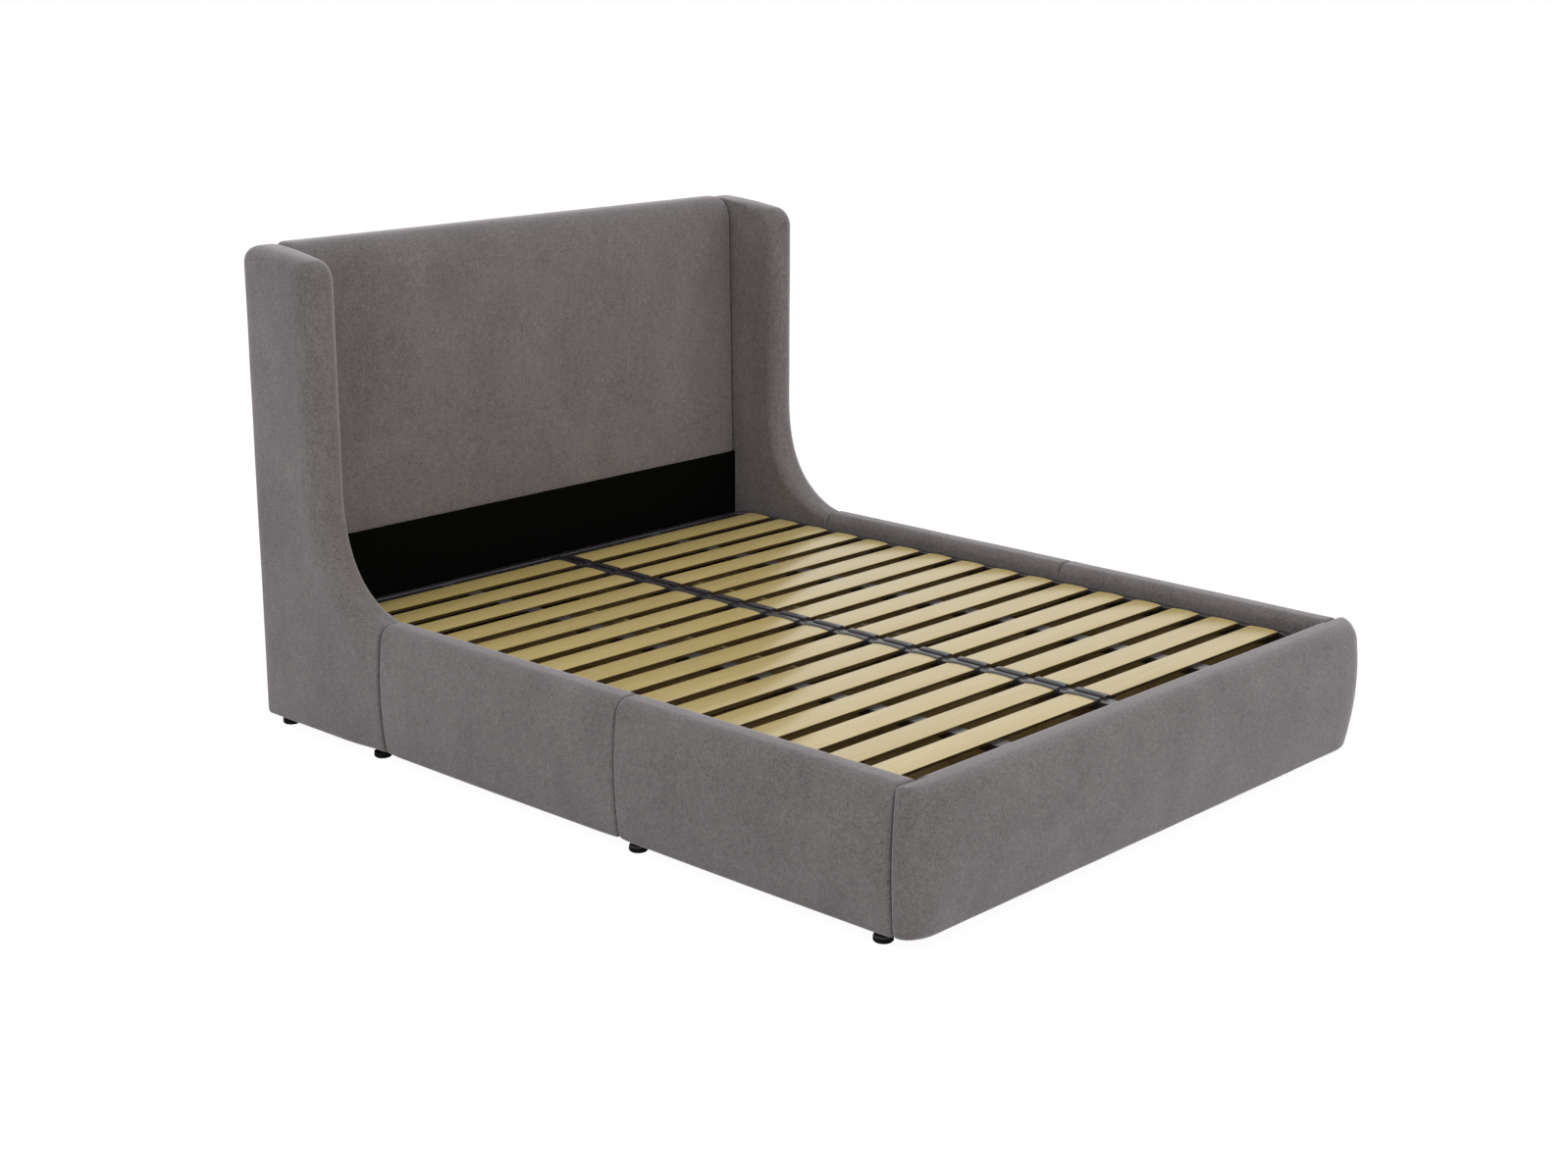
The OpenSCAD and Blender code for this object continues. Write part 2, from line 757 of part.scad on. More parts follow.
module outer_caps() {
    color(steel_grey) both_sides() for (y = slat_spots)
        translate([tip_out, y, 0]) mirror([1, 0, 0]) outer_cap();
}

// Drawers, drawn for the right side: ends are [foot end, head end] of each front and box
half_seam = seam_gap / 2;
head_front = [y_mid + half_seam, y_wing - half_seam];
foot_front_ends = [y_slab + half_seam, y_mid - half_seam];
head_box = [y_mid_wall_head + wall_t + runner_t, y_head_wall - runner_t];
foot_box = [y_foot_wall + wall_t + runner_t, y_mid_wall_foot - runner_t];
x_board = well_half + lip_t;
foot_depth = x_board - foot_backs / 2;
front_set = 20;
x_runner = x_board - front_set - runner_l;
z_runner = (z_box + z_box_top) / 2;

function side_section() = let (z_low = z_front + bottom_r, z_high = rail_top - top_r_out) concat(
    [[0, z_front]],
    arc([side_out(z_low) - bottom_r, z_low], [bottom_r, bottom_r], -90, 0, 5),
    [for (i = [1:11]) let (z = z_low + (z_high - z_low) * i / 12) [side_out(z), z]],
    arc([side_out(z_high) - top_r_out, z_high], [top_r_out, top_r_out], 0, 90, 8),
    arc([top_r_in, rail_top - top_r_in], [top_r_in, top_r_in], 90, 180, 6));

function front_plan(ends) = let (
    x_max = well_half + side_t + side_bulge,
    x_end = x_max - front_crown,
    y_c = (ends[0] + ends[1]) / 2,
    y_h = (ends[1] - ends[0]) / 2 - end_r)
    concat(
        [[well_half - cut, ends[0]]],
        arc([x_end - end_r, ends[0] + end_r], [end_r, end_r], -90, 0, 5),
        [for (i = [1:9]) let (u = i / 5 - 1) [x_max - front_crown * u * u, y_c + u * y_h]],
        arc([x_end - end_r, ends[1] - end_r], [end_r, end_r], 0, 90, 5),
        [[well_half - cut, ends[1]]]);

function front_elevation(ends) = let (rise = [front_rise_l, front_rise], head_r = end_r / 2) concat(
    arc([ends[0] + rise.x, z_front + rise.y], rise, 180, 270, 8),
    arc([ends[1] - rise.x, z_front + rise.y], rise, 270, 360, 8),
    arc([ends[1] - head_r, rail_top - head_r], [head_r, head_r], 0, 90, 3),
    arc([ends[0] + head_r, rail_top - head_r], [head_r, head_r], 90, 180, 3));

module front_pad(ends) {
    color(fabric) difference() {
        intersection() {
            along_y(ends[0] - cut, ends[1] + cut) translate([well_half, 0]) polygon(side_section());
            translate([0, 0, z_front - cut])
                linear_extrude(rail_top - z_front + 2 * cut) polygon(front_plan(ends));
            along_x(well_half - cut, well_half + 2 * side_t) polygon(front_elevation(ends));
        }
        box([x_board, ends[0] + end_wrap, z_front - cut], [x_board + board_t, ends[1] - end_wrap, z_board]);
        box([well_half - cut, ends[0] + end_wrap, z_front - cut], [x_board + cut, ends[1] - end_wrap, z_lip]);
    }
}

module front_board(ends) {
    color(ply) box([x_board, ends[0] + end_wrap, z_pad], [x_board + board_t, ends[1] - end_wrap, z_board]);
}

module drawer_box(ends, x_box) {
    color(ply) difference() {
        union() {
            for (y = [ends[0], ends[1] - box_t]) box([x_box, y, z_box], [x_board, y + box_t, z_box_top]);
            for (x = [x_box, x_board - box_t])
                box([x, ends[0] + box_t + joint_gap, z_box],
                    [x + box_t, ends[1] - box_t - joint_gap, z_box_top]);
        }
        translate([0, 0, z_bottom]) bottom_blank(ends, x_box, 0, bottom_t + joint_gap);
    }
}

module bottom_blank(ends, x_box, play, thickness) {
    hold = box_t - groove + play;
    box([x_box + hold, ends[0] + hold, 0], [x_board - hold, ends[1] - hold, thickness]);
}

module drawer_bottom(ends, x_box) {
    color(ply) translate([0, 0, z_bottom]) bottom_blank(ends, x_box, joint_gap, bottom_t);
}

// Runners: a channel between t0 and t1 from the wall's face, h high, closed at t0 or at t1
function channel(t0, t1, h, closed_at_wall) = let (
    s = runner_skin,
    a = h / 2,
    web = closed_at_wall ? t0 : t1,
    inner = closed_at_wall ? t0 + s : t1 - s,
    open = closed_at_wall ? t1 : t0)
    [[web, -a], [open, -a], [open, s - a], [inner, s - a], [inner, a - s], [open, a - s], [open, a], [web, a]];

web_gap = 0.7;
middle_t = runner_skin + web_gap;
member_t = 2 * middle_t;
middle_h = runner_h - 2 * runner_skin - 2 * runner_gap;
member_h = middle_h - 2 * runner_skin - 2 * runner_gap;

module runner_pair(ends, section) {
    translate([0, ends[0] - runner_t, z_runner]) along_x(x_runner, x_runner + runner_l) polygon(section);
    translate([0, ends[1] + runner_t, z_runner]) mirror([0, 1, 0])
        along_x(x_runner, x_runner + runner_l) polygon(section);
}

module cabinet_pair(ends) {
    runner_pair(ends, channel(0, runner_t - member_t, runner_h, true));
}

module middle_pair(ends) {
    color(zinc) runner_pair(ends, channel(middle_t, runner_t - middle_t, middle_h, true));
}

module drawer_pair(ends) {
    color(zinc) runner_pair(ends, channel(member_t, runner_t, member_h, false));
}

module runner_cabinet_members() {
    color(zinc) both_sides() {
        cabinet_pair(head_box);
        cabinet_pair(foot_box);
    }
}

module drawer_piece(piece, left, front_ends, box_ends, depth) {
    x_box = x_board - depth;
    each_side(left) {
        if (piece == "front_pad") front_pad(front_ends);
        if (piece == "front_board") front_board(front_ends);
        if (piece == "box") drawer_box(box_ends, x_box);
        if (piece == "bottom") drawer_bottom(box_ends, x_box);
        if (piece == "drawer_members") drawer_pair(box_ends);
        if (piece == "middle_members") middle_pair(box_ends);
    }
}

headboard_pad();
headboard_backer();
headboard_frame();
lining_board();
rear_panel();
wing_left_pad();
wing_right_pad();
wing_left_core();
wing_right_core();
wing_bearers();
footboard_pad();
footboard_core();
footboard_battens();
head_wall();
mid_wall_head();
mid_wall_foot();
foot_wall();
end_ledges();
centre_beam();
centre_legs();
angle_brackets();
bracket_bolts();
side_feet();
inner_feet();
foot_straps();
frame_side_tubes();
frame_head_tube();
frame_foot_tube();
centre_rail();
support_bars();
slats_left();
slats_right();
centre_caps();
outer_caps();
runner_cabinet_members();
for (piece = ["front_pad", "front_board", "box", "bottom", "drawer_members", "middle_members"]) {
    drawer_piece(piece, true, head_front, head_box, head_depth);
    drawer_piece(piece, false, head_front, head_box, head_depth);
    drawer_piece(piece, true, foot_front_ends, foot_box, foot_depth);
    drawer_piece(piece, false, foot_front_ends, foot_box, foot_depth);
}
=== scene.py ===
"""Dresses an upholstered storage bed.

It has a winged headboard, a padded footboard, four padded drawers and a slatted base.
"""

from __future__ import annotations

import json
import logging
import math
from collections.abc import Callable, Iterable, Sequence
from dataclasses import dataclass
from enum import Enum

import bmesh
import bpy
from mathutils import Matrix, Vector, noise

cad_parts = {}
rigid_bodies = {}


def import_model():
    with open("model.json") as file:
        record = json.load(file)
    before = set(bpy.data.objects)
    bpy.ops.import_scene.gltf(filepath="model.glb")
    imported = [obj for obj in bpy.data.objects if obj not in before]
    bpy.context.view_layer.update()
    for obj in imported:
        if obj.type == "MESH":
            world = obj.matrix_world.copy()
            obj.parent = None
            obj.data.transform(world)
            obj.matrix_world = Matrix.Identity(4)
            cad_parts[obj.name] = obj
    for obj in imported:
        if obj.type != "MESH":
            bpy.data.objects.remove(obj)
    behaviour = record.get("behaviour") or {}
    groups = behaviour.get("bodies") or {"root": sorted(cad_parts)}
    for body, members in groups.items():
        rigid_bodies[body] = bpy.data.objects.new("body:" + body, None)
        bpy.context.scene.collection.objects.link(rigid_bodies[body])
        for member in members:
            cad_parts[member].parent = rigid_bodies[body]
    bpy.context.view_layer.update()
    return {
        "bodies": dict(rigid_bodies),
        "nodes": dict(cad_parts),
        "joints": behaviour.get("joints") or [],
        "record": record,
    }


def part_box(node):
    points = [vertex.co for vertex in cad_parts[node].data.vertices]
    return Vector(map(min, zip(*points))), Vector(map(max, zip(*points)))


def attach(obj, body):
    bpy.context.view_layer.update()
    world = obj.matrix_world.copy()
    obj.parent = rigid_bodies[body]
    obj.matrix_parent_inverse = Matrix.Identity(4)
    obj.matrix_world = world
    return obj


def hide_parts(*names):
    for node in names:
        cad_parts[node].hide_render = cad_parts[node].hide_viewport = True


log = logging.getLogger("bed")

Point = tuple[float, float, float]
Colour = tuple[float, float, float]
Flat = tuple[float, float]
Four = tuple[float, float, float, float]
Socket = bpy.types.NodeSocket

AXES = (Vector((1, 0, 0)), Vector((0, 1, 0)), Vector((0, 0, 1)))
# The drawers, each with whether it is on the left side
DRAWERS = {"head_left": True, "head_right": False, "foot_left": True, "foot_right": False}
# Room between the padding and the boards that sit in it
GAP = 0.0002
# How far a cutting box reaches past the faces that it cuts, and below the underside of a pad
BEYOND = 0.01
BELOW = 0.02
# How near a face a point counts as on it, and how far up from its underside a pad is stapled
ON_FACE = 0.001
STAPLED = 0.002
# The value about which noise from 0 to 1 sways
MIDDLE = 0.5
WHITE = (1.0, 1.0, 1.0)


def paint(red: int, green: int, blue: int) -> Colour:
    """Turns a display colour of 0 to 255 a channel into the linear colour that a shader takes."""
    return tuple(c / 12.92 if c <= 0.04045 else ((c + 0.055) / 1.055) ** 2.4
                 for c in (red / 255, green / 255, blue / 255))


class Amount:
    """A number socket that takes part in Python expressions, each of which adds a Math node."""

    def __init__(self, tree: Tree, socket: Socket) -> None:
        """Wraps a socket.

        Args:
            tree: The node tree that the socket belongs to.
            socket: An output that carries a number.
        """
        self.tree = tree
        self.socket = socket

    def _math(self, operation: str, left: Amount | float, right: Amount | float) -> Amount:
        """Adds a Math node on two values and returns its result."""
        node = self.tree.node("ShaderNodeMath", {"operation": operation}, {0: left, 1: right})
        return Amount(self.tree, node.outputs[0])

    def __add__(self, other: Amount | float) -> Amount:
        """Returns this value plus another."""
        return self._math("ADD", self, other)

    __radd__ = __add__

    def __sub__(self, other: Amount | float) -> Amount:
        """Returns this value minus another."""
        return self._math("SUBTRACT", self, other)

    def __rsub__(self, other: Amount | float) -> Amount:
        """Returns another value minus this one."""
        return self._math("SUBTRACT", other, self)

    def __mul__(self, other: Amount | float) -> Amount:
        """Returns this value times another."""
        return self._math("MULTIPLY", self, other)

    __rmul__ = __mul__

    def __truediv__(self, other: Amount | float) -> Amount:
        """Returns this value divided by another."""
        return self._math("DIVIDE", self, other)

    def floor(self) -> Amount:
        """Returns this value rounded down."""
        return self._math("FLOOR", self, 0.0)

    def clamped(self, low: float = 0.0, high: float = 1.0) -> Amount:
        """Returns this value kept between low and high."""
        return self._math("MINIMUM", self.greater(low), high)

    def greater(self, other: Amount | float) -> Amount:
        """Returns the greater of this value and another."""
        return self._math("MAXIMUM", self, other)


class Tree:
    """A node tree, filled through a single method."""

    def __init__(self, tree: bpy.types.NodeTree) -> None:
        """Wraps a node tree."""
        self.tree = tree

    def node(self, kind: str, settings: dict[str, object] | None = None,
             values: dict[str | int, object] | None = None) -> bpy.types.Node:
        """Adds a node.

        Args:
            kind: The node's type.
            settings: Properties to set first, such as a Math node's operation.
            values: What goes into its sockets, by name or number: a value or a link.

        Returns:
            The new node.
        """
        node = self.tree.nodes.new(kind)
        for key, value in (settings or {}).items():
            setattr(node, key, value)
        for key, value in (values or {}).items():
            self.feed(node.inputs[key], value)
        return node

    def feed(self, socket: Socket, value: object) -> None:
        """Sets a socket to a value, or links it where the value is another socket.

        Args:
            socket: The input.
            value: A number, a colour, a vector, an output or an Amount.
        """
        if isinstance(value, Amount):
            value = value.socket
        if isinstance(value, bpy.types.NodeSocket):
            self.tree.links.new(value, socket)
            return
        if socket.type == "RGBA" and len(value) == 3:
            value = (*value, 1.0)
        socket.default_value = value


class Graph(Tree):
    """The node tree of one material."""

    def __init__(self, name: str) -> None:
        """Starts a material with a Principled shader.

        Args:
            name: The material's name.
        """
        self.material = bpy.data.materials.new(name)
        self.material.use_nodes = True
        super().__init__(self.material.node_tree)
        self.shader = self.tree.nodes["Principled BSDF"]
        self.output = self.tree.nodes["Material Output"]

    def dress(self, **values: object) -> None:
        """Feeds the Principled shader's sockets, named with underscores for spaces."""
        for key, value in values.items():
            self.feed(self.shader.inputs[key.replace("_", " ")], value)

    def position(self, scale: Point) -> Socket:
        """Returns the place on the object, scaled to draw a pattern on."""
        place = self.node("ShaderNodeTexCoord").outputs["Object"]
        return self.node("ShaderNodeMapping", values={"Vector": place, "Scale": scale}).outputs["Vector"]

    def axis(self, name: str) -> Amount:
        """Returns one coordinate of the place on the object: X, Y or Z."""
        place = self.node("ShaderNodeTexCoord").outputs["Object"]
        return Amount(self, self.node("ShaderNodeSeparateXYZ", values={0: place}).outputs[name])

    def speckle(self, scale: Point, detail: float = 2.0, roughness: float = 0.5,
                distortion: float = 0.0) -> Amount:
        """Returns noise from 0 to 1.

        Args:
            scale: The noise's cells in a metre along each axis.
            detail: How many finer layers it has.
            roughness: How strong the finer layers are.
            distortion: How far it is twisted.

        Returns:
            The noise.
        """
        values = {"Vector": self.position(scale), "Scale": 1.0, "Detail": detail, "Roughness": roughness,
                  "Distortion": distortion}
        return Amount(self, self.node("ShaderNodeTexNoise", values=values).outputs[0])

    def blend(self, amount: Amount, first: Colour | Socket, second: Colour | Socket) -> Socket:
        """Returns a colour mixed from two by an amount."""
        node = self.node("ShaderNodeMix", {"data_type": "RGBA"}, {0: amount, 6: first, 7: second})
        return node.outputs[2]

    def relief(self, height: Amount, depth: float, strength: float) -> Socket:
        """Returns a normal that a height of 0 to 1 bends, where 1 stands depth metres proud."""
        node = self.node("ShaderNodeBump", values={"Strength": strength, "Distance": depth, "Height": height})
        return node.outputs["Normal"]


def balance(*layers: tuple[Amount, float]) -> Amount:
    """Returns a tone from 0 to 1 that sways about the middle.

    Args:
        *layers: Each a noise from 0 to 1 and its weight.

    Returns:
        The tone.
    """
    first, *others = [(layer - MIDDLE) * weight for layer, weight in layers]
    for other in others:
        first = first + other
    return (first + MIDDLE).clamped()


@dataclass(frozen=True)
class Chenille:
    """Brushed chenille with a fine weave, a soft nap that lies in clouds, and a sheen at grazing angles."""

    name: str = "taupe_chenille"
    shade: Colour = paint(77, 71, 71)
    light: Colour = paint(142, 136, 136)
    bloom: Colour = (1.0, 0.95, 0.98)
    thread: float = 0.0038
    float_length: float = 3.5
    warp_share: float = 0.55
    pile_cells: Point = (210, 210, 180)
    nap_cells: Point = (6, 6, 3.5)
    cloud_cells: Point = (44, 44, 24)
    nap_height: float = 0.0016
    sheen: float = 0.74

    def make(self) -> bpy.types.Material:
        """Mixes the finish.

        Returns:
            The material.
        """
        graph = Graph(self.name)
        across, along = 1 / self.thread, 1 / (self.float_length * self.thread)
        warp = graph.speckle((across, across, along), detail=2.0, roughness=0.65)
        weft = graph.speckle((along, along, across), detail=2.0, roughness=0.65)
        pile = graph.speckle(self.pile_cells, detail=3.0, roughness=0.85)
        nap = graph.speckle(self.nap_cells, detail=2.0, roughness=0.5, distortion=0.6)
        cloud = graph.speckle(self.cloud_cells, detail=3.0, roughness=0.65)
        weave = warp * self.warp_share + weft * (1 - self.warp_share)
        tone = balance((weave, 1.1), (pile, 1.35), (nap, 0.4), (cloud, 0.3))
        graph.dress(Base_Color=graph.blend(tone, self.shade, self.light), Roughness=0.92,
                    Normal=graph.relief(weave * 0.6 + pile * 0.4, self.nap_height, 0.6),
                    Sheen_Weight=self.sheen, Sheen_Roughness=0.4, Sheen_Tint=self.bloom,
                    Specular_IOR_Level=0.2)
        return graph.material


@dataclass(frozen=True)
class Veneer:
    """Bonded pale veneer of the slats.

    It has fine streaks along X and painted shade: dark brown on the side faces and undersides below the top.
    Each slat is a little lighter or darker.
    """

    name: str = "slat_veneer"
    dark: Colour = paint(184, 160, 96)
    light: Colour = paint(221, 199, 133)
    pitch: float = 0.122
    # Painted shade: the slats' side faces and undersides, below the height given next, take this dark brown
    edge: Colour = paint(74, 59, 33)
    painted_shade_from: float = 0.3247
    painted_shade_fade: float = 0.0008
    row_shift: float = 0.02
    columns: float = 1.2
    fibre_cells: Point = (5, 260, 260)
    fleck_cells: Point = (22, 700, 700)
    figure_cells: Point = (1.6, 22, 22)
    roughness: float = 0.17
    dullness: float = 0.12
    density: float = 1.8

    def make(self) -> bpy.types.Material:
        """Mixes the finish.

        Returns:
            The material.
        """
        graph = Graph(self.name)
        fibre = graph.speckle(self.fibre_cells, detail=4.0, roughness=0.65)
        fleck = graph.speckle(self.fleck_cells, detail=2.0, roughness=0.6)
        figure = graph.speckle(self.figure_cells, detail=3.0, roughness=0.55, distortion=1.2)
        row = (graph.axis("Y") / self.pitch + self.row_shift).floor()
        side = (graph.axis("X") * self.columns).floor()
        whole = graph.node("ShaderNodeCombineXYZ", values={0: side, 1: row})
        chance = graph.node("ShaderNodeTexWhiteNoise", values={"Vector": whole.outputs[0]})
        each = Amount(graph, chance.outputs[0])
        tone = balance((fibre, 0.9), (fleck, 0.5), (figure, 0.5), (each, 0.25))
        face = graph.blend(tone, self.dark, self.light)
        # Painted shade: the mask that turns the slats dark brown below their tops
        below = ((self.painted_shade_from - graph.axis("Z")) / self.painted_shade_fade).clamped()
        graph.dress(Base_Color=graph.blend(below, face, self.edge), IOR=self.density,
                    Roughness=fibre * self.dullness + self.roughness,
                    Normal=graph.relief(fibre, 0.0003, 0.25))
        return graph.material


@dataclass(frozen=True)
class Board:
    """A bare board or timber with a grain along one axis."""

    name: str
    dark: Colour
    light: Colour
    grain: Point
    roughness: float = 0.6
    fibre_cells: Flat = (6, 170)
    figure_cells: Flat = (1.5, 16)

    def make(self) -> bpy.types.Material:
        """Mixes the finish.

        Returns:
            The material.
        """
        graph = Graph(self.name)
        fibre = graph.speckle(self._along_grain(self.fibre_cells), detail=4.0, roughness=0.6)
        figure = graph.speckle(self._along_grain(self.figure_cells), detail=3.0, distortion=1.5)
        tone = balance((fibre, 0.9), (figure, 0.8))
        graph.dress(Base_Color=graph.blend(tone, self.dark, self.light), Roughness=self.roughness,
                    Normal=graph.relief(fibre, 0.0004, 0.3))
        return graph.material

    def _along_grain(self, cells: Flat) -> Point:
        """Returns a noise's cells on each axis, from those along the grain and across it."""
        return tuple(cells[0] if grain else cells[1] for grain in self.grain)


@dataclass(frozen=True)
class Coating:
    """Powder coat, zinc or moulded plastic: one colour with a fine texture and a slight unevenness."""

    name: str
    colour: Colour
    roughness: float
    metallic: float = 0.0
    texture: float = 900.0
    depth: float = 0.0001
    density: float = 1.5
    wear_cells: float = 14.0
    wear_sway: float = 0.16
    worn: float = 1.35
    haze: float = 0.004

    def make(self) -> bpy.types.Material:
        """Mixes the finish.

        Returns:
            The material.
        """
        graph = Graph(self.name)
        orange_peel = graph.speckle((self.texture,) * 3, detail=1.0)
        wear = graph.speckle((self.wear_cells,) * 3, detail=4.0, roughness=0.65)
        lighter = tuple(min(1.0, c * self.worn + self.haze) for c in self.colour)
        graph.dress(Base_Color=graph.blend(wear, self.colour, lighter), Metallic=self.metallic,
                    Roughness=(wear - MIDDLE) * self.wear_sway + self.roughness,
                    Normal=graph.relief(orange_peel, self.depth, 0.4), IOR=self.density)
        return graph.material


@dataclass(frozen=True)
class Felt:
    """Matt black nonwoven over the lining board."""

    name: str = "black_nonwoven"
    colour: Colour = paint(6, 6, 5)
    dimple_cells: Point = (260, 260, 260)
    fibre_cells: Point = (420, 420, 420)
    fuzz: float = 1.5

    def make(self) -> bpy.types.Material:
        """Mixes the finish.

        Returns:
            The material.
        """
        graph = Graph(self.name)
        place = graph.position(self.dimple_cells)
        cells = graph.node("ShaderNodeTexVoronoi", values={"Vector": place, "Scale": 1.0})
        dimple = Amount(graph, cells.outputs["Distance"])
        fibre = graph.speckle(self.fibre_cells, detail=2.0)
        lighter = tuple(c * self.fuzz for c in self.colour)
        graph.dress(Base_Color=graph.blend(fibre, self.colour, lighter), Roughness=0.95,
                    Specular_IOR_Level=0.04, Normal=graph.relief(dimple, 0.0004, 0.4))
        return graph.material


class Finish(Enum):
    """The finishes of the bed, each with the record's slot that it stands for."""

    UPHOLSTERY = ("upholstery", Chenille())
    SLATS = ("slat_wood", Veneer())
    LINING = ("black_lining", Felt())
    BOX_BOARD = ("plywood", Board("birch_board", paint(150, 124, 78), paint(184, 160, 112), (1, 0, 0)))
    # Painted shade: near black on the end ledges and wing bearers, standing for the shade in the gaps under
    # the slats at the head
    BLACK_BOARD = ("black_lining",
                   Board("painted_shade_board", paint(12, 12, 12), paint(19, 18, 18), (0, 1, 0)))
    WALL_BOARD = ("plywood", Board("wall_board", paint(128, 98, 58), paint(158, 128, 84), (1, 0, 0)))
    TIMBER = ("timber", Board("softwood", paint(176, 144, 96), paint(206, 178, 130), (0, 0, 1)))
    STEEL = ("dark_steel", Coating("powder_coat", paint(43, 40, 44), 0.28, density=1.75))
    ZINC = ("zinc", Coating("zinc_plate", paint(170, 172, 176), 0.32, metallic=1.0, texture=300.0))
    GREY_PLASTIC = ("grey_plastic",
                    Coating("cap_plastic", paint(41, 39, 43), 0.3, texture=600.0, density=1.7))
    BLACK_PLASTIC = ("black_plastic",
                     Coating("foot_plastic", paint(4, 4, 4), 0.7, texture=600.0, density=1.25))

    def __init__(self, slot: str, recipe: Chenille | Veneer | Board | Coating | Felt) -> None:
        """Keeps the slot's name and the recipe of the material."""
        self.slot = slot
        self.recipe = recipe

    def coat(self, piece: bpy.types.Object) -> None:
        """Puts the finish on a piece, in place of what it has. Its material is made once."""
        piece.data.materials.clear()
        piece.data.materials.append(bpy.data.materials.get(self.recipe.name) or self.recipe.make())


def arc(centre: Flat, radii: Flat, start: float, stop: float, turns: int) -> list[Flat]:
    """Returns points on an elliptical arc, with its angles in degrees."""
    angles = [math.radians(start + (stop - start) * i / turns) for i in range(turns + 1)]
    return [(centre[0] + radii[0] * math.cos(a), centre[1] + radii[1] * math.sin(a)) for a in angles]


def even(start: float, stop: float, step: float) -> list[float]:
    """Returns even places from start to stop, about a step apart."""
    count = max(1, round((stop - start) / step))
    return [start + (stop - start) * i / count for i in range(count + 1)]


def draw_in(depth: float, radius: float) -> float:
    """Returns how far a rounded edge draws a face in, at a depth below the edge."""
    return 0.0 if depth >= radius else radius - math.sqrt(max(0.0, radius ** 2 - (radius - depth) ** 2))


def ease(value: float, low: float, high: float) -> float:
    """Returns a smooth step from 0 to 1 as a value goes from low to high."""
    t = min(1.0, max(0.0, (value - low) / (high - low)))
    return t * t * (3 - 2 * t)


def quarter(radius: float, turns: int) -> list[Flat]:
    """Returns the steps of a rounded edge.

    Args:
        radius: The edge's radius.
        turns: How many steps it has.

    Returns:
        For each step, how far it is in from the end, and how far the outline is drawn in there.
    """
    angles = [math.pi / 2 * i / turns for i in range(turns + 1)]
    return [(radius * (1 - math.cos(a)), radius * (1 - math.sin(a))) for a in angles]


def put(name: str, data: bpy.types.ID) -> bpy.types.Object:
    """Adds an object to the scene.

    Args:
        name: The object's name.
        data: Its mesh, lamp or camera.

    Returns:
        The new object.
    """
    piece = bpy.data.objects.new(name, data)
    bpy.context.scene.collection.objects.link(piece)
    return piece


def solid(name: str, mesh: bmesh.types.BMesh) -> bpy.types.Object:
    """Turns a bmesh into an object in the scene.

    Args:
        name: The object's name, and its mesh's.
        mesh: The bmesh, which is freed.

    Returns:
        The new object.
    """
    data = bpy.data.meshes.new(name)
    mesh.to_mesh(data)
    mesh.free()
    return put(name, data)


@dataclass(frozen=True)
class Section:
    """A rectangle with rounded corners, each side of which can be drawn in."""

    low: Flat
    high: Flat
    radii: Four
    pull: Four = (1.0, 1.0, 1.0, 1.0)
    turns: int = 8
    least: float = 0.0015

    def drawn_in(self, inset: float) -> list[Flat]:
        """Returns the outline drawn in.

        Args:
            inset: How far, before each side's share of it: left, right, bottom and top.

        Returns:
            The points from the lower left corner on, with the corners' radii in the same order.
        """
        u0, u1 = self.low[0] + inset * self.pull[0], self.high[0] - inset * self.pull[1]
        v0, v1 = self.low[1] + inset * self.pull[2], self.high[1] - inset * self.pull[3]
        a, b, c, d = (max(self.least, r - inset) for r in self.radii)
        return (arc((u0 + a, v0 + a), (a, a), 180, 270, self.turns)
                + arc((u1 - b, v0 + b), (b, b), 270, 360, self.turns)
                + arc((u1 - c, v1 - c), (c, c), 0, 90, self.turns)
                + arc((u0 + d, v1 - d), (d, d), 90, 180, self.turns))


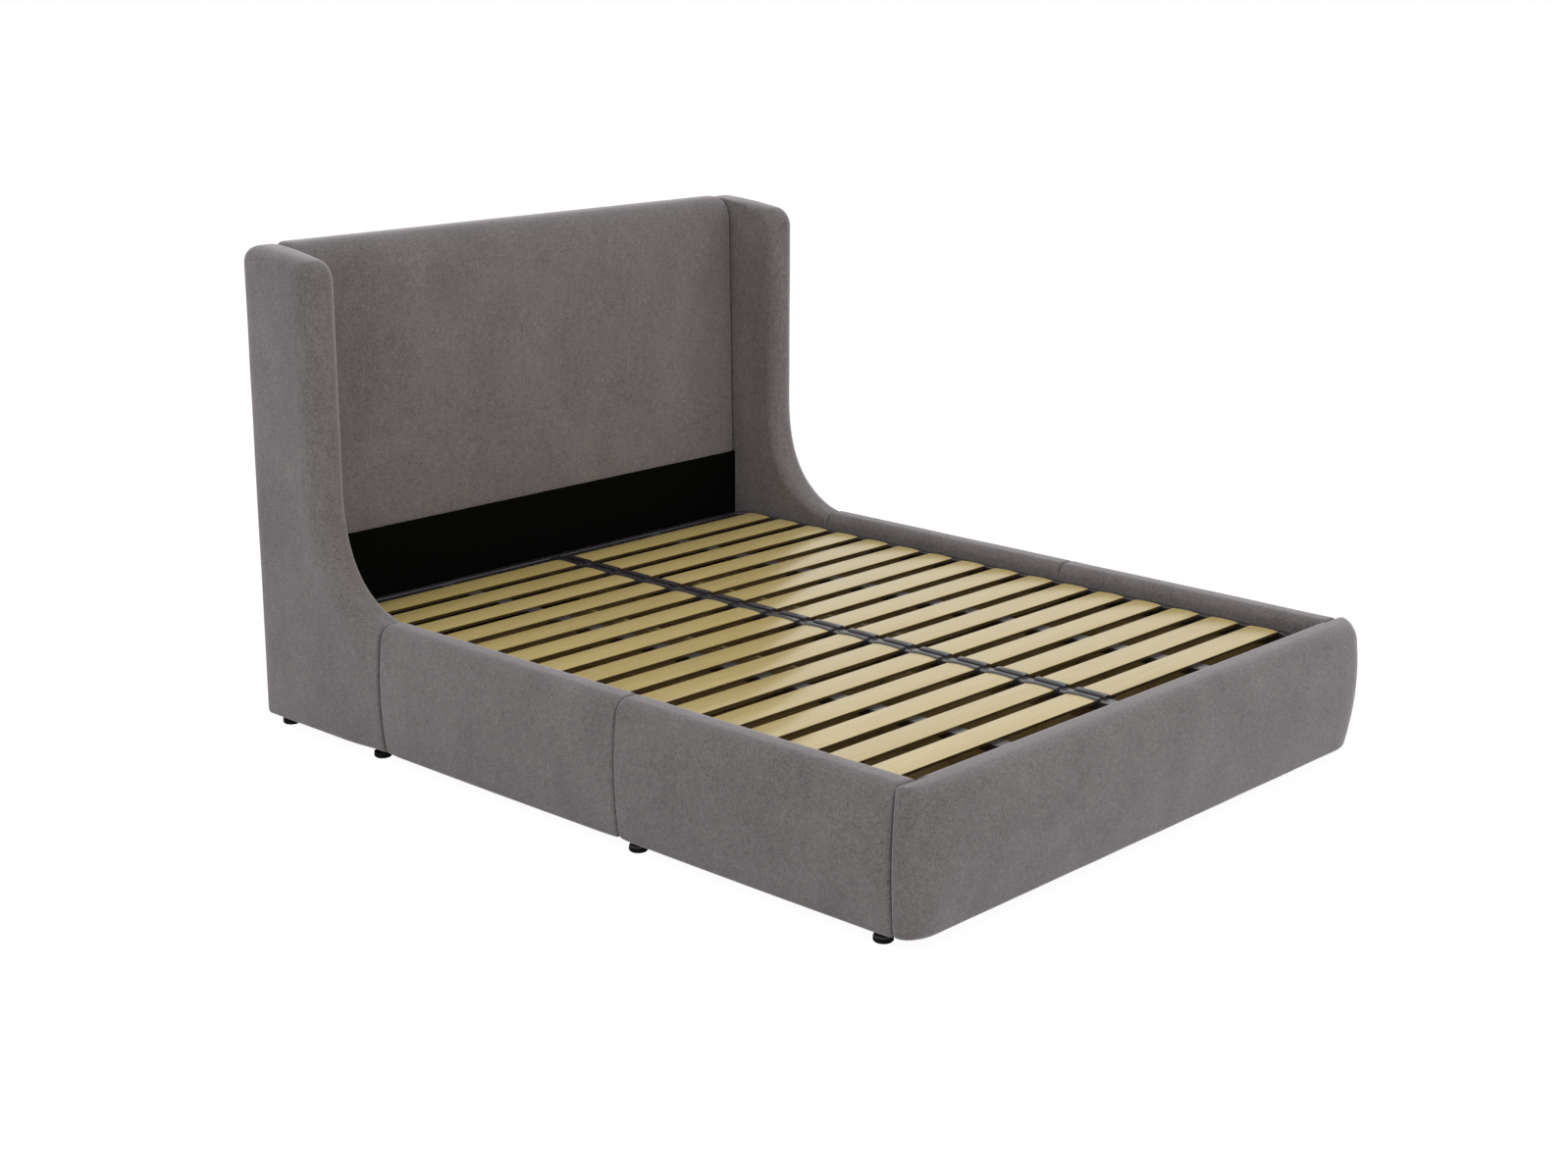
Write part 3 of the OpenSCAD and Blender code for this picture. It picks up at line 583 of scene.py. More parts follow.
class Form:
    """A padded form in the making: rings that a skin runs through, then cut into a grid and shaped."""

    cut_reach = 1e-5
    weld = 0.0003

    def __init__(self, axis: int) -> None:
        """Starts an empty form.

        Args:
            axis: The axis that the rings follow each other along.
        """
        self.mesh = bmesh.new()
        self.axis = axis
        self.ring: list[bmesh.types.BMVert] = []
        self.cap: bmesh.types.BMFace | None = None

    def add_ring(self, place: float, outline: Sequence[Flat]) -> None:
        """Extrudes the last ring to a place on the axis, where it takes a new outline.

        Args:
            place: The new ring's place on the axis.
            outline: Its points on the other two axes, as many as the last ring's.
        """
        spots = [Vector((*p[:self.axis], place, *p[self.axis:])) for p in outline]
        if self.cap is None:
            self.ring = [self.mesh.verts.new(p) for p in spots]
            edges = [self.mesh.edges.new(pair) for pair in zip(self.ring, self.ring[1:] + self.ring[:1])]
            bmesh.ops.edgeloop_fill(self.mesh, edges=edges)
            self.cap = edges[0].link_faces[0]
            return
        before = {tuple(v.co): i for i, v in enumerate(self.ring)}
        inside = [self.cap] if len(self.mesh.faces) > 1 else []
        grown = bmesh.ops.extrude_face_region(self.mesh, geom=[self.cap])["geom"]
        bmesh.ops.delete(self.mesh, geom=inside, context="FACES_ONLY")
        self.cap = next(g for g in grown
                        if isinstance(g, bmesh.types.BMFace) and len(g.verts) == len(self.ring))
        for vertex in [g for g in grown if isinstance(g, bmesh.types.BMVert)]:
            index = before[tuple(vertex.co)]
            self.ring[index] = vertex
            vertex.co = spots[index]

    def add_bar(self, section: Section, start: float, stop: float, end: float,
                places: Iterable[float]) -> None:
        """Adds the rings of a bar with rounded ends.

        Args:
            section: The bar's section.
            start: Where it starts on the axis.
            stop: Where it stops.
            end: The radius of the edges at its ends.
            places: Where rings stand between the ends, the far end's first one too.
        """
        rounding = quarter(end, 5)
        for depth, inset in rounding:
            self.add_ring(start + depth, section.drawn_in(inset))
        for place in places:
            self.add_ring(place, section.drawn_in(0.0))
        for depth, inset in reversed(rounding[:-1]):
            self.add_ring(stop - depth, section.drawn_in(inset))

    def cut(self, axis: int, places: Iterable[float]) -> None:
        """Cuts the faces along planes.

        Args:
            axis: The axis that the planes are square to.
            places: Where they cross it.
        """
        for place in places:
            geom = self.mesh.verts[:] + self.mesh.edges[:] + self.mesh.faces[:]
            bmesh.ops.bisect_plane(self.mesh, geom=geom, dist=self.cut_reach,
                                   plane_co=AXES[axis] * place, plane_no=AXES[axis])

    def shape(self, rule: Callable[[Vector], Vector]) -> None:
        """Moves each vertex to where a rule puts it."""
        for vertex in self.mesh.verts:
            vertex.co = rule(vertex.co.copy())

    def finish(self, name: str) -> bpy.types.Object:
        """Turns the form into an object with smooth shading.

        Args:
            name: The object's name.

        Returns:
            The new object.
        """
        bmesh.ops.remove_doubles(self.mesh, verts=self.mesh.verts[:], dist=self.weld)
        bmesh.ops.recalc_face_normals(self.mesh, faces=self.mesh.faces[:])
        for face in self.mesh.faces:
            face.smooth = True
        return solid(name, self.mesh)


@dataclass
class Stuffing:
    """How a padded piece swells, with its stapled side held.

    Cloth with pressure inside is simulated on it, and each point's way is capped. Points that don't face
    along the axis by at least the share called loose stay.
    """

    axis: int
    loose: float
    limit: float = 0.005
    pressure: float = 4.0
    frames: int = 20
    quality: int = 5
    mass: float = 0.4
    stretch: float = 18
    shear: float = 8
    bending: float = 1.5
    unevenness: float = 0.0006
    patch: float = 0.16

    def fill(self, piece: bpy.types.Object, pad: str, held: Callable[[Vector], bool]) -> None:
        """Swells a piece.

        Args:
            piece: The piece, at rest.
            pad: The CAD node whose box it stays in.
            held: Says which points are stapled down and stay.
        """
        low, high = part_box(pad)
        start = [v.co.copy() for v in piece.data.vertices]
        stays = [v.index for v in piece.data.vertices if held(v.co) or abs(v.normal[self.axis]) < self.loose]
        swollen = self._simulate(piece, stays)
        normals = [v.normal.copy() for v in piece.data.vertices]
        for vertex, before, after, normal in zip(piece.data.vertices, start, swollen, normals):
            move = after - before
            if move.length > self.limit:
                move *= self.limit / move.length
            if not held(before):
                move += normal * self.unevenness * noise.noise(before / self.patch)
            place = before + move
            vertex.co = [min(max(place[i], low[i]), high[i]) for i in range(3)]
        piece.data.update()

    def _simulate(self, piece: bpy.types.Object, stays: list[int]) -> list[Vector]:
        """Runs the cloth on a piece.

        Args:
            piece: The piece, at rest.
            stays: The points that are held.

        Returns:
            Where each point ends.
        """
        group = piece.vertex_groups.new(name="held")
        group.add(stays, 1.0, "REPLACE")
        cloth = piece.modifiers.new("stuffing", "CLOTH")
        settings = cloth.settings
        settings.quality = self.quality
        settings.mass = self.mass
        settings.tension_stiffness = self.stretch
        settings.compression_stiffness = self.stretch
        settings.shear_stiffness = self.shear
        settings.bending_stiffness = self.bending
        settings.use_pressure = True
        settings.uniform_pressure_force = self.pressure
        settings.vertex_group_mass = group.name
        settings.effector_weights.gravity = 0.0
        cloth.collision_settings.use_collision = False
        cloth.point_cache.frame_start = 1
        cloth.point_cache.frame_end = self.frames
        for frame in range(1, self.frames + 1):
            bpy.context.scene.frame_set(frame)
        shown = piece.evaluated_get(bpy.context.evaluated_depsgraph_get())
        places = [v.co.copy() for v in shown.data.vertices]
        piece.modifiers.remove(cloth)
        piece.vertex_groups.remove(group)
        bpy.context.scene.frame_set(1)
        return places


def carve(piece: bpy.types.Object, low: Point, high: Point) -> None:
    """Cuts a box-shaped recess into a piece, where a board sits in its padding.

    Args:
        piece: The piece.
        low: The recess's lowest corner.
        high: Its highest corner.
    """
    size = Vector(high) - Vector(low)
    mesh = bmesh.new()
    bmesh.ops.create_cube(mesh, size=1.0)
    bmesh.ops.scale(mesh, verts=mesh.verts[:], vec=size)
    bmesh.ops.translate(mesh, verts=mesh.verts[:], vec=Vector(low) + size / 2)
    tool = solid("recess", mesh)
    cut = piece.modifiers.new("recess", "BOOLEAN")
    cut.operation = "DIFFERENCE"
    cut.object = tool
    cut.solver = "EXACT"
    shown = piece.evaluated_get(bpy.context.evaluated_depsgraph_get())
    carved = bpy.data.meshes.new_from_object(shown)
    piece.modifiers.remove(cut)
    piece.data = carved
    bpy.data.objects.remove(tool)


def upholster(piece: bpy.types.Object, body: str, pad: str) -> None:
    """Args:
        piece: The piece.
        body: The body that it rides on.
        pad: The CAD node that it stands for.
    """
    Finish.UPHOLSTERY.coat(piece)
    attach(piece, body)
    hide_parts(pad)
    log.info("%s: %d faces on %s", piece.name, len(piece.data.polygons), body)


def side_name(left: bool) -> str:
    """Returns the name of a side of the bed, as seen from its foot."""
    return "left" if left else "right"


def mirrored(point: Vector, left: bool) -> Vector:
    """Returns a point of the right side, or its mirror image for the left side."""
    return Vector((-point.x, point.y, point.z)) if left else point


def right_box(node: str, left: bool) -> tuple[Vector, Vector]:
    """Returns a node's box as it would be on the right side.

    Args:
        node: The CAD node.
        left: Whether it stands on the left side.

    Returns:
        The box's lowest and highest corners.
    """
    low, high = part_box(node)
    if left:
        return Vector((-high.x, low.y, low.z)), Vector((-low.x, high.y, high.z))
    return low, high


@dataclass(frozen=True)
class SideProfile:
    """The section that the drawer fronts, the wings' feet and the footboard's ends share."""

    bulge: float = 0.015
    middle: float = 0.1945
    half: float = 0.1725

    def reach(self, height: float) -> float:
        """Returns how far the side bulges out at a height, beyond its top and bottom."""
        return self.bulge * (1 - min(1.0, abs(height - self.middle) / self.half) ** 2)


@dataclass
class DrawerFront:
    """One padded drawer front over its board."""

    key: str
    left: bool
    inset: float = 0.0025
    top_outer: float = 0.034
    top_inner: float = 0.029
    bottom: float = 0.011
    bottom_inner: float = 0.002
    pull: Four = (0.0, 1.0, 1.2, 0.8)
    end: float = 0.009
    crown: float = 0.003
    inner_corner: float = 0.010
    corner_from: float = 0.050
    corner_full: float = 0.012
    rise: float = 0.005
    rise_length: float = 0.080
    rise_height: float = 0.120
    lip: float = 0.004
    lip_height: float = 0.279
    step: float = 0.016
    profile: SideProfile = SideProfile()

    def __post_init__(self) -> None:
        """Takes the pad's box, as it would be on the right side."""
        self.low, self.high = right_box(f"{self.key}_front_pad", self.left)
        self.inner, self.outer = self.low.x, self.high.x - self.profile.bulge

    def build(self) -> None:
        """Builds, swells, carves and dresses the front."""
        piece = self._shell()
        sign = -1 if self.left else 1
        held_at, under = self.inner + self.top_inner / 2, self.low.z + STAPLED
        Stuffing(axis=0, loose=0.96).fill(piece, f"{self.key}_front_pad",
                                          lambda p: sign * p.x < held_at or p.z < under)
        self._recess(piece)
        upholster(piece, f"drawer_{self.key}", f"{self.key}_front_pad")

    def _shell(self) -> bpy.types.Object:
        """Builds the front at rest.

        Returns:
            A bar along Y with rounded ends, moved out into a barrel.
        """
        low, high, end = self.low, self.high, self.end
        section = Section((self.inner, low.z), (self.outer, high.z),
                          (self.bottom_inner, self.bottom, self.top_outer, self.top_inner), self.pull)
        near = even(end, 3 * end, end / 2)[1:]
        places = ([low.y + d for d in near] + even(low.y + 3 * end, high.y - 3 * end, self.step)[1:-1]
                  + [high.y - d for d in reversed(near)] + [high.y - end])
        form = Form(1)
        form.add_bar(section, low.y, high.y, end, places)
        form.cut(2, even(low.z + self.bottom, high.z - self.top_outer, self.step))
        form.cut(0, even(self.inner + self.top_inner, self.outer - self.top_outer, self.step))
        form.shape(lambda p: mirrored(self._swollen(p), self.left))
        return form.finish(f"{self.key}_front")

    def _swollen(self, point: Vector) -> Vector:
        """Moves a point out into the barrel, and draws it in at the ends of the front's edges.

        Args:
            point: A point of the plain bar.

        Returns:
            Its place on the front.
        """
        low, high = self.low, self.high
        share = (point.x - self.inner) / (self.outer - self.inner)
        along = (2 * point.y - low.y - high.y) / (high.y - low.y)
        swell = self.profile.reach(point.z) - self.crown * along ** 2 - self.inset * (1 - along ** 8)
        off_end = min(point.y - low.y, high.y - point.y)
        edge = draw_in(off_end, self.inner_corner)
        edge *= (1 - share) * ease(point.z, high.z - self.corner_from, high.z - self.corner_full)
        lift = self.rise * draw_in(off_end / self.rise_length, 1.0)
        lift *= max(0.0, 1 - (point.z - low.z) / self.rise_height)
        return Vector((point.x + share * swell + edge, point.y, point.z + lift))

    def _recess(self, piece: bpy.types.Object) -> None:
        """Cuts the board's space, with a wider mouth up to where the padding laps behind the board.

        Args:
            piece: The front.
        """
        low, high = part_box(f"{self.key}_front_board")
        gap = Vector((GAP, GAP, GAP))
        low, high = low - gap - Vector((0, 0, self.lip)), high + gap
        carve(piece, low, high)
        high.z = self.lip_height
        if self.left:
            high.x += self.lip * 1.5
        else:
            low.x -= self.lip * 1.5
        carve(piece, low, high)


@dataclass(frozen=True)
class Depths:
    """How far a wing's outline is drawn in where a face is rounded, at six places round it."""

    rear: float
    top: float
    front: float
    sweep: float
    seam: float
    foot: float


@dataclass
class Wing:
    """One wing: a tall pillar whose front edge sweeps down and forwards into the side."""

    left: bool
    front: float = 0.278
    fall: float = 0.028
    fall_bend: float = 1.6
    front_bend: float = 2.5
    front_corner: float = 0.046
    rear_corner: float = 0.022
    sweep_height: float = 0.320
    hold: float = 0.154
    run: float = 0.188
    slope: float = 0.2
    seam_drop: float = 0.006
    seam_hold: float = 0.030
    foot: float = 0.010
    inner_width: float = 0.038
    outer_width: float = 0.050
    dome: float = 0.002
    dome_share: float = 1.4
    inner_depths: Depths = Depths(0.004, 0.004, 0.036, 0.018, 0.004, 0.002)
    outer_depths: Depths = Depths(0.018, 0.031, 0.044, 0.028, 0.006, 0.014)
    seam_blend: float = 0.150
    side: float = 0.088
    side_inner: float = 0.029
    side_outer: float = 0.034
    rail_top: float = 0.367
    core_top: float = 0.30
    step: float = 0.018
    profile: SideProfile = SideProfile()

    def __post_init__(self) -> None:
        """Takes the pad's box, as it would be on the right side."""
        self.name = f"wing_{side_name(self.left)}"
        self.low, self.high = right_box(f"{self.name}_pad", self.left)

    def build(self) -> None:
        """Builds, swells, carves and dresses the wing."""
        piece = self._pillar()
        sign = -1 if self.left else 1
        held_at, under = self.low.x + ON_FACE, self.low.z + STAPLED
        seam = self.low.y + self.seam_hold
        Stuffing(axis=0, loose=0.985).fill(piece, f"{self.name}_pad",
                                           lambda p: sign * p.x < held_at or p.z < under or p.y < seam)
        core_low, core_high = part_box(f"{self.name}_core")
        carve(piece, core_low - Vector((GAP, GAP, BELOW)), (core_high.x, core_high.y, self.core_top))
        upholster(piece, "frame", f"{self.name}_pad")

    def _pillar(self) -> bpy.types.Object:
        """Builds the wing at rest.

        Returns:
            Outlines from the inner face to the slightly domed outer one, tapered towards the seam.
        """
        low, high = self.low, self.high
        form = Form(0)
        for width, share in quarter(1.0, 7):
            form.add_ring(low.x + self.inner_width * width, self._outline(share, self.inner_depths))
        for width, share in reversed(quarter(1.0, 10)):
            form.add_ring(high.x - self.dome - self.outer_width * width,
                          self._outline(share, self.outer_depths))
        form.add_ring(high.x, self._outline(self.dome_share, self.outer_depths))
        form.cut(1, even(low.y + self.foot, high.y - self.rear_corner, self.step))
        form.cut(2, even(low.z + self.foot, high.z - self.front_corner, self.step))
        form.shape(lambda p: mirrored(self._tapered(p), self.left))
        return form.finish(self.name)

    def _outline(self, share: float, depths: Depths) -> list[Flat]:
        """Works out the wing's outline, drawn in.

        Args:
            share: The share of the depths by which it is drawn in.
            depths: The depths of the face's rounding.

        Returns:
            Its points in Y and Z, from the lower rear corner on.
        """
        low, high = self.low, self.high
        rear = high.y - depths.rear * share ** 2
        front = high.y - self.front + depths.front * share
        seam = low.y + depths.seam * share ** 3
        bottom = low.z + depths.foot * share ** 3
        corner = self.front_corner - depths.front * share / 2
        crest_from, crest_to = rear - self.rear_corner, front + corner

        def crest(y: float) -> float:
            """Returns the top's height at a place."""
            ahead = max(0.0, high.y - y) / self.front
            drawn = depths.top + (depths.front - depths.top) * ahead ** self.front_bend
            return high.z - self.fall * ahead ** self.fall_bend - share * drawn

        def rounded(centre: float, radius: float, start: float, stop: float) -> list[Flat]:
            """Returns a corner that follows the top."""
            turn = arc((centre, 0.0), (radius, radius), start, stop, 10)
            return [(y, crest(y) - radius + z) for y, z in turn]

        between = (crest_from + (crest_to - crest_from) * i / 10 for i in range(1, 10))
        return (arc((rear - self.foot, bottom + self.foot), (self.foot, self.foot), 270, 360, 4)
                + rounded(crest_from, self.rear_corner, 0, 90)
                + [(y, crest(y)) for y in between]
                + rounded(crest_to, corner, 90, 180)
                + [(max(p.x, seam), p.y) for p in self._sweep(share, depths)]
                + arc((seam + self.foot, bottom + self.foot), (self.foot, self.foot), 180, 270, 4))

    def _sweep(self, share: float, depths: Depths) -> list[Vector]:
        """Works out the front edge, a curve from the pillar down to the seam.

        Args:
            share: The share of the depths by which it is drawn in.
            depths: The depths of the face's rounding.

        Returns:
            Its points in Y and Z.
        """
        a = Vector((self.high.y - self.front, self.rail_top + self.sweep_height))
        b = a - Vector((0.0, self.hold))
        d = Vector((self.low.y, self.rail_top - self.seam_drop))
        c = d + self.run * Vector((1.0, self.slope))
        points = []
        for t in even(0.0, 1.0, 1 / 36):
            s = 1 - t
            place = a * s ** 3 + b * (3 * t * s * s) + c * (3 * t * t * s) + d * t ** 3
            along = (b - a) * (s * s) + (c - b) * (2 * t * s) + (d - c) * (t * t)
            inward = Vector((-along.y, along.x)).normalized()
            points.append(place + inward * share * (depths.front + (depths.sweep - depths.front) * t))
        return points

    def _tapered(self, point: Vector) -> Vector:
        """Moves a point across, so that the wing takes on the drawer front's section at the seam.

        Args:
            point: A point of the wing at its full thickness.

        Returns:
            Its place on the tapered wing.
        """
        near = 1 - ease(point.y, self.low.y, self.low.y + self.seam_blend)
        full = self.high.x - self.low.x
        thick = full + near * (self.side + self.profile.reach(point.z) - full)
        inner = self.inner_width + near * (self.side_inner - self.inner_width)
        outer = self.outer_width + near * (self.side_outer - self.outer_width)
        across = point.x - self.low.x
        knee = full - self.outer_width
        if across < self.inner_width:
            across *= inner / self.inner_width
        elif across > knee:
            across = thick - (full - across) * outer / self.outer_width
        else:
            share = (across - self.inner_width) / (knee - self.inner_width)
            across = inner + share * (thick - outer - inner)
        return Vector((self.low.x + across, point.y, point.z))


@dataclass
class Headboard:
    """The headboard's pad between the wings, and the fabric panel on its back."""

    lean: float = 0.015
    top_front: float = 0.066
    top_rear: float = 0.020
    bottom_front: float = 0.008
    bottom_rear: float = 0.002
    side: float = 0.022
    crown: float = 0.004
    rear_hold: float = 0.004
    step: float = 0.024
    panel_edge: float = 0.004
    panel_sag: float = 0.005
    panel_step: float = 0.04

    def build(self) -> None:
        """Builds the pad and the rear panel."""
        self._pad()
        self._rear_panel()

    def _pad(self) -> None:
        """Builds, swells, carves and dresses the pad."""
        low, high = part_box("headboard_pad")
        low.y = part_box("lining_board")[0].y
        section = Section((low.y, low.z), (high.y, high.z),
                          (self.bottom_front, self.bottom_rear, self.top_rear, self.top_front))
        form = Form(0)
        places = even(low.x + self.side, high.x - self.side, self.step)[1:]
        form.add_bar(section, low.x, high.x, self.side, places)
        form.cut(2, even(low.z + self.bottom_front, high.z - self.top_front, self.step))
        form.cut(1, even(low.y + self.top_front, high.y - self.top_rear, self.step))
        form.shape(lambda p: self._leaned(p, low, high))
        piece = form.finish("headboard_cushion")
        held_from, under = high.y - self.rear_hold, low.z + ON_FACE
        Stuffing(axis=1, loose=0.985, limit=0.004).fill(piece, "headboard_pad",
                                                        lambda p: p.y > held_from or p.z < under)
        post_low, post_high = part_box("headboard_frame")
        backer_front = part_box("headboard_backer")[0].y
        carve(piece, (post_low.x - GAP, backer_front - GAP, low.z - BEYOND),
              (post_high.x + GAP, post_high.y + GAP, post_high.z + GAP))
        upholster(piece, "frame", "headboard_pad")

    def _leaned(self, point: Vector, low: Vector, high: Vector) -> Vector:
        """Leans the pad's face back towards its top, and bows it out.

        Args:
            point: A point of the upright pad.
            low: The pad's lowest corner.
            high: Its highest corner.

        Returns:
            The point's place on the leaning pad.
        """
        share = (high.y - point.y) / (high.y - low.y)
        up = (point.z - low.z) / (high.z - low.z)
        across = point.x / ((high.x - low.x) / 2)
        bow = self.crown * (1 - across ** 4) * (1 - (2 * up - 1) ** 4)
        return Vector((point.x, point.y + share * (self.lean * up - bow), point.z))

    def _rear_panel(self) -> None:
        """Builds and dresses the fabric panel that closes the back."""
        low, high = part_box("rear_panel")
        edge = self.panel_edge
        section = Section((low.x, low.z), (high.x, high.z), (edge,) * 4, turns=3)
        form = Form(1)
        form.add_ring(low.y, section.drawn_in(0.0))
        for depth, inset in reversed(quarter(edge, 3)):
            form.add_ring(high.y - depth, section.drawn_in(inset))
        form.cut(0, even(low.x + edge, high.x - edge, self.panel_step))
        form.cut(2, even(low.z + edge, high.z - edge, self.panel_step))
        centre = (low.z + high.z) / 2
        half = Vector((high.x, 0, (high.z - low.z) / 2))

        def sag(point: Vector) -> Vector:
            """Draws the outer face in towards its middle.

            Args:
                point: A point of the flat panel.

            Returns:
                Its place on the panel.
            """
            if point.y < high.y - ON_FACE:
                return point
            hollow = (1 - (point.x / half.x) ** 2) * (1 - ((point.z - centre) / half.z) ** 2)
            return point - Vector((0, self.panel_sag * hollow, 0))

        form.shape(sag)
        upholster(form.finish("rear_cover"), "frame", "rear_panel")


@dataclass
class Footboard:
    """The footboard: a full-width cushion whose tongue fits between the drawer fronts."""

    top_front: float = 0.045
    top_rear: float = 0.027
    top_end: float = 0.012
    bottom: float = 0.014
    corner: float = 0.076
    corner_share: float = 0.8
    belly_height: float = 0.235
    belly_draw: float = 0.026
    inset: float = 0.002
    slab: float = 0.089
    seam: float = 0.0012
    seam_edge: float = 0.009
    seam_hold: float = 0.003
    end_share: float = 0.7
    tongue: float = 0.811
    side: float = 0.898
    overlap: float = 0.002
    step: float = 0.020
    rear_step: float = 0.7
    profile: SideProfile = SideProfile()

    def __post_init__(self) -> None:
        """Takes the pad's box, and the place of its seam with the drawer fronts."""
        self.low, self.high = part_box("footboard_pad")
        self.shoulder = self.low.y + self.slab - self.seam

    def build(self) -> None:
        """Builds, swells, carves and dresses the footboard."""
        low, high = self.low, self.high
        levels = ([low.z + d for d, _ in quarter(self.bottom, 5)]
                  + even(low.z + self.bottom, high.z - self.top_front, self.step)[1:]
                  + [high.z - d for d, _ in reversed(quarter(self.top_front, 12)[:-1])])
        form = Form(2)
        for level in levels:
            form.add_ring(level, self._plan(level))
        form.cut(0, even(-self.tongue + self.step, self.tongue - self.step, self.step))
        form.cut(1, even(self.shoulder - self.step, high.y - self.top_rear, self.step * self.rear_step))
        piece = form.finish("footboard_cushion")
        held_from, under = self.shoulder - self.seam_hold, low.z + STAPLED
        Stuffing(axis=1, loose=0.97).fill(piece, "footboard_pad", lambda p: p.y > held_from or p.z < under)
        self._hollow(piece)
        upholster(piece, "frame", "footboard_pad")

    def _plan(self, level: float) -> list[Flat]:
        """Works out the footboard's outline at a level.

        Args:
            level: The height.

        Returns:
            Its points in X and Y, from the tongue's right rear corner on.
        """
        down, up = self.high.z - level, level - self.low.z
        above_belly = (level - self.belly_height) / (self.belly_height - self.low.z)
        end = self.side + self.end_share * self.profile.reach(level)
        end -= draw_in(up, self.bottom) + draw_in(down, self.top_end)
        face = (self.low.y + self.inset + self.belly_draw * above_belly ** 2 + draw_in(up, self.bottom)
                + draw_in(down, self.top_front))
        rear = self.high.y - draw_in(down, self.top_rear)
        edge = self.seam_edge
        back = self.shoulder - draw_in(down, edge)
        depth = min(self.corner, (back - face) * self.corner_share)
        right = ([(self.tongue, rear), (self.tongue, back)]
                 + arc((end - edge, back - edge), (edge, edge), 90, 0, 4)
                 + arc((end - self.corner, face + depth), (self.corner, depth), 0, -90, 12))
        return right + [(-x, y) for x, y in reversed(right)]

    def _hollow(self, piece: bpy.types.Object) -> None:
        """Cuts the spaces of the core board, the battens and the foot wall.

        Args:
            piece: The cushion.
        """
        core_low, core_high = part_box("footboard_core")
        wall_low, wall_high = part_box("foot_wall")
        frame_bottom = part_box("frame_foot_tube")[0].z
        below = self.low.z - BELOW
        carve(piece, (core_low.x - GAP, core_low.y - GAP, below),
              (core_high.x + GAP, core_high.y + GAP, core_high.z))
        carve(piece, (-self.tongue - BEYOND, core_high.y - self.overlap, below),
              (self.tongue + BEYOND, self.high.y + BEYOND, frame_bottom))
        carve(piece, (wall_low.x - GAP, wall_low.y - GAP, frame_bottom - BEYOND),
              (wall_high.x + GAP, wall_high.y + GAP, wall_high.z))


@dataclass
class Carcass:
    """Every board, timber, tube, slat and runner that keeps its CAD shape and gets its finish."""

    finishes: tuple[tuple[Finish, tuple[str, ...]], ...] = (
        (Finish.SLATS, ("slats_left", "slats_right")),
        (Finish.LINING, ("lining_board",)),
        (Finish.STEEL, ("frame_side_tubes", "frame_head_tube", "frame_foot_tube", "centre_rail",
                        "support_bars", "centre_legs", "foot_straps")),
        (Finish.GREY_PLASTIC, ("centre_caps", "outer_caps")),
        (Finish.BLACK_PLASTIC, ("side_feet", "inner_feet")),
        (Finish.ZINC, ("angle_brackets", "bracket_bolts", "runner_cabinet_members")),
        (Finish.TIMBER, ("headboard_frame", "footboard_battens")),
        # Painted shade: these boards are near black for the shade that falls on them
        (Finish.BLACK_BOARD, ("wing_bearers", "end_ledges")),
        (Finish.WALL_BOARD, ("headboard_backer", "wing_left_core", "wing_right_core", "footboard_core",
                             "head_wall", "mid_wall_head", "mid_wall_foot", "foot_wall", "centre_beam")),
    )
    drawer_finishes: tuple[tuple[Finish, tuple[str, ...]], ...] = (
        (Finish.WALL_BOARD, ("front_board",)),
        (Finish.BOX_BOARD, ("box", "bottom")),
        (Finish.ZINC, ("drawer_members", "middle_members")),
    )

    def dress(self, nodes: dict[str, bpy.types.Object]) -> None:
        """Gives each CAD node its finish.

        Args:
            nodes: The CAD nodes by name.
        """
        groups = [("", self.finishes)] + [(f"{key}_", self.drawer_finishes) for key in DRAWERS]
        for prefix, finishes in groups:
            for finish, names in finishes:
                for name in names:
                    finish.coat(nodes[prefix + name])
                    log.info("%s: %s", prefix + name, finish.name.lower())


@dataclass(frozen=True)
class Lamp:
    """A soft square lamp that looks at the bed's middle."""

    name: str
    place: Point
    power: float
    size: float = 2.5
    target: Point = (0.0, 0.0, 0.4)

    def hang(self) -> None:
        """Adds the lamp to the scene."""
        data = bpy.data.lights.new(self.name, "AREA")
        data.shape = "SQUARE"
        data.size = self.size
        data.energy = self.power
        lamp = put(self.name, data)
        lamp.location = self.place
        lamp.rotation_euler = (Vector(self.target) - Vector(self.place)).to_track_quat("-Z", "Y").to_euler()


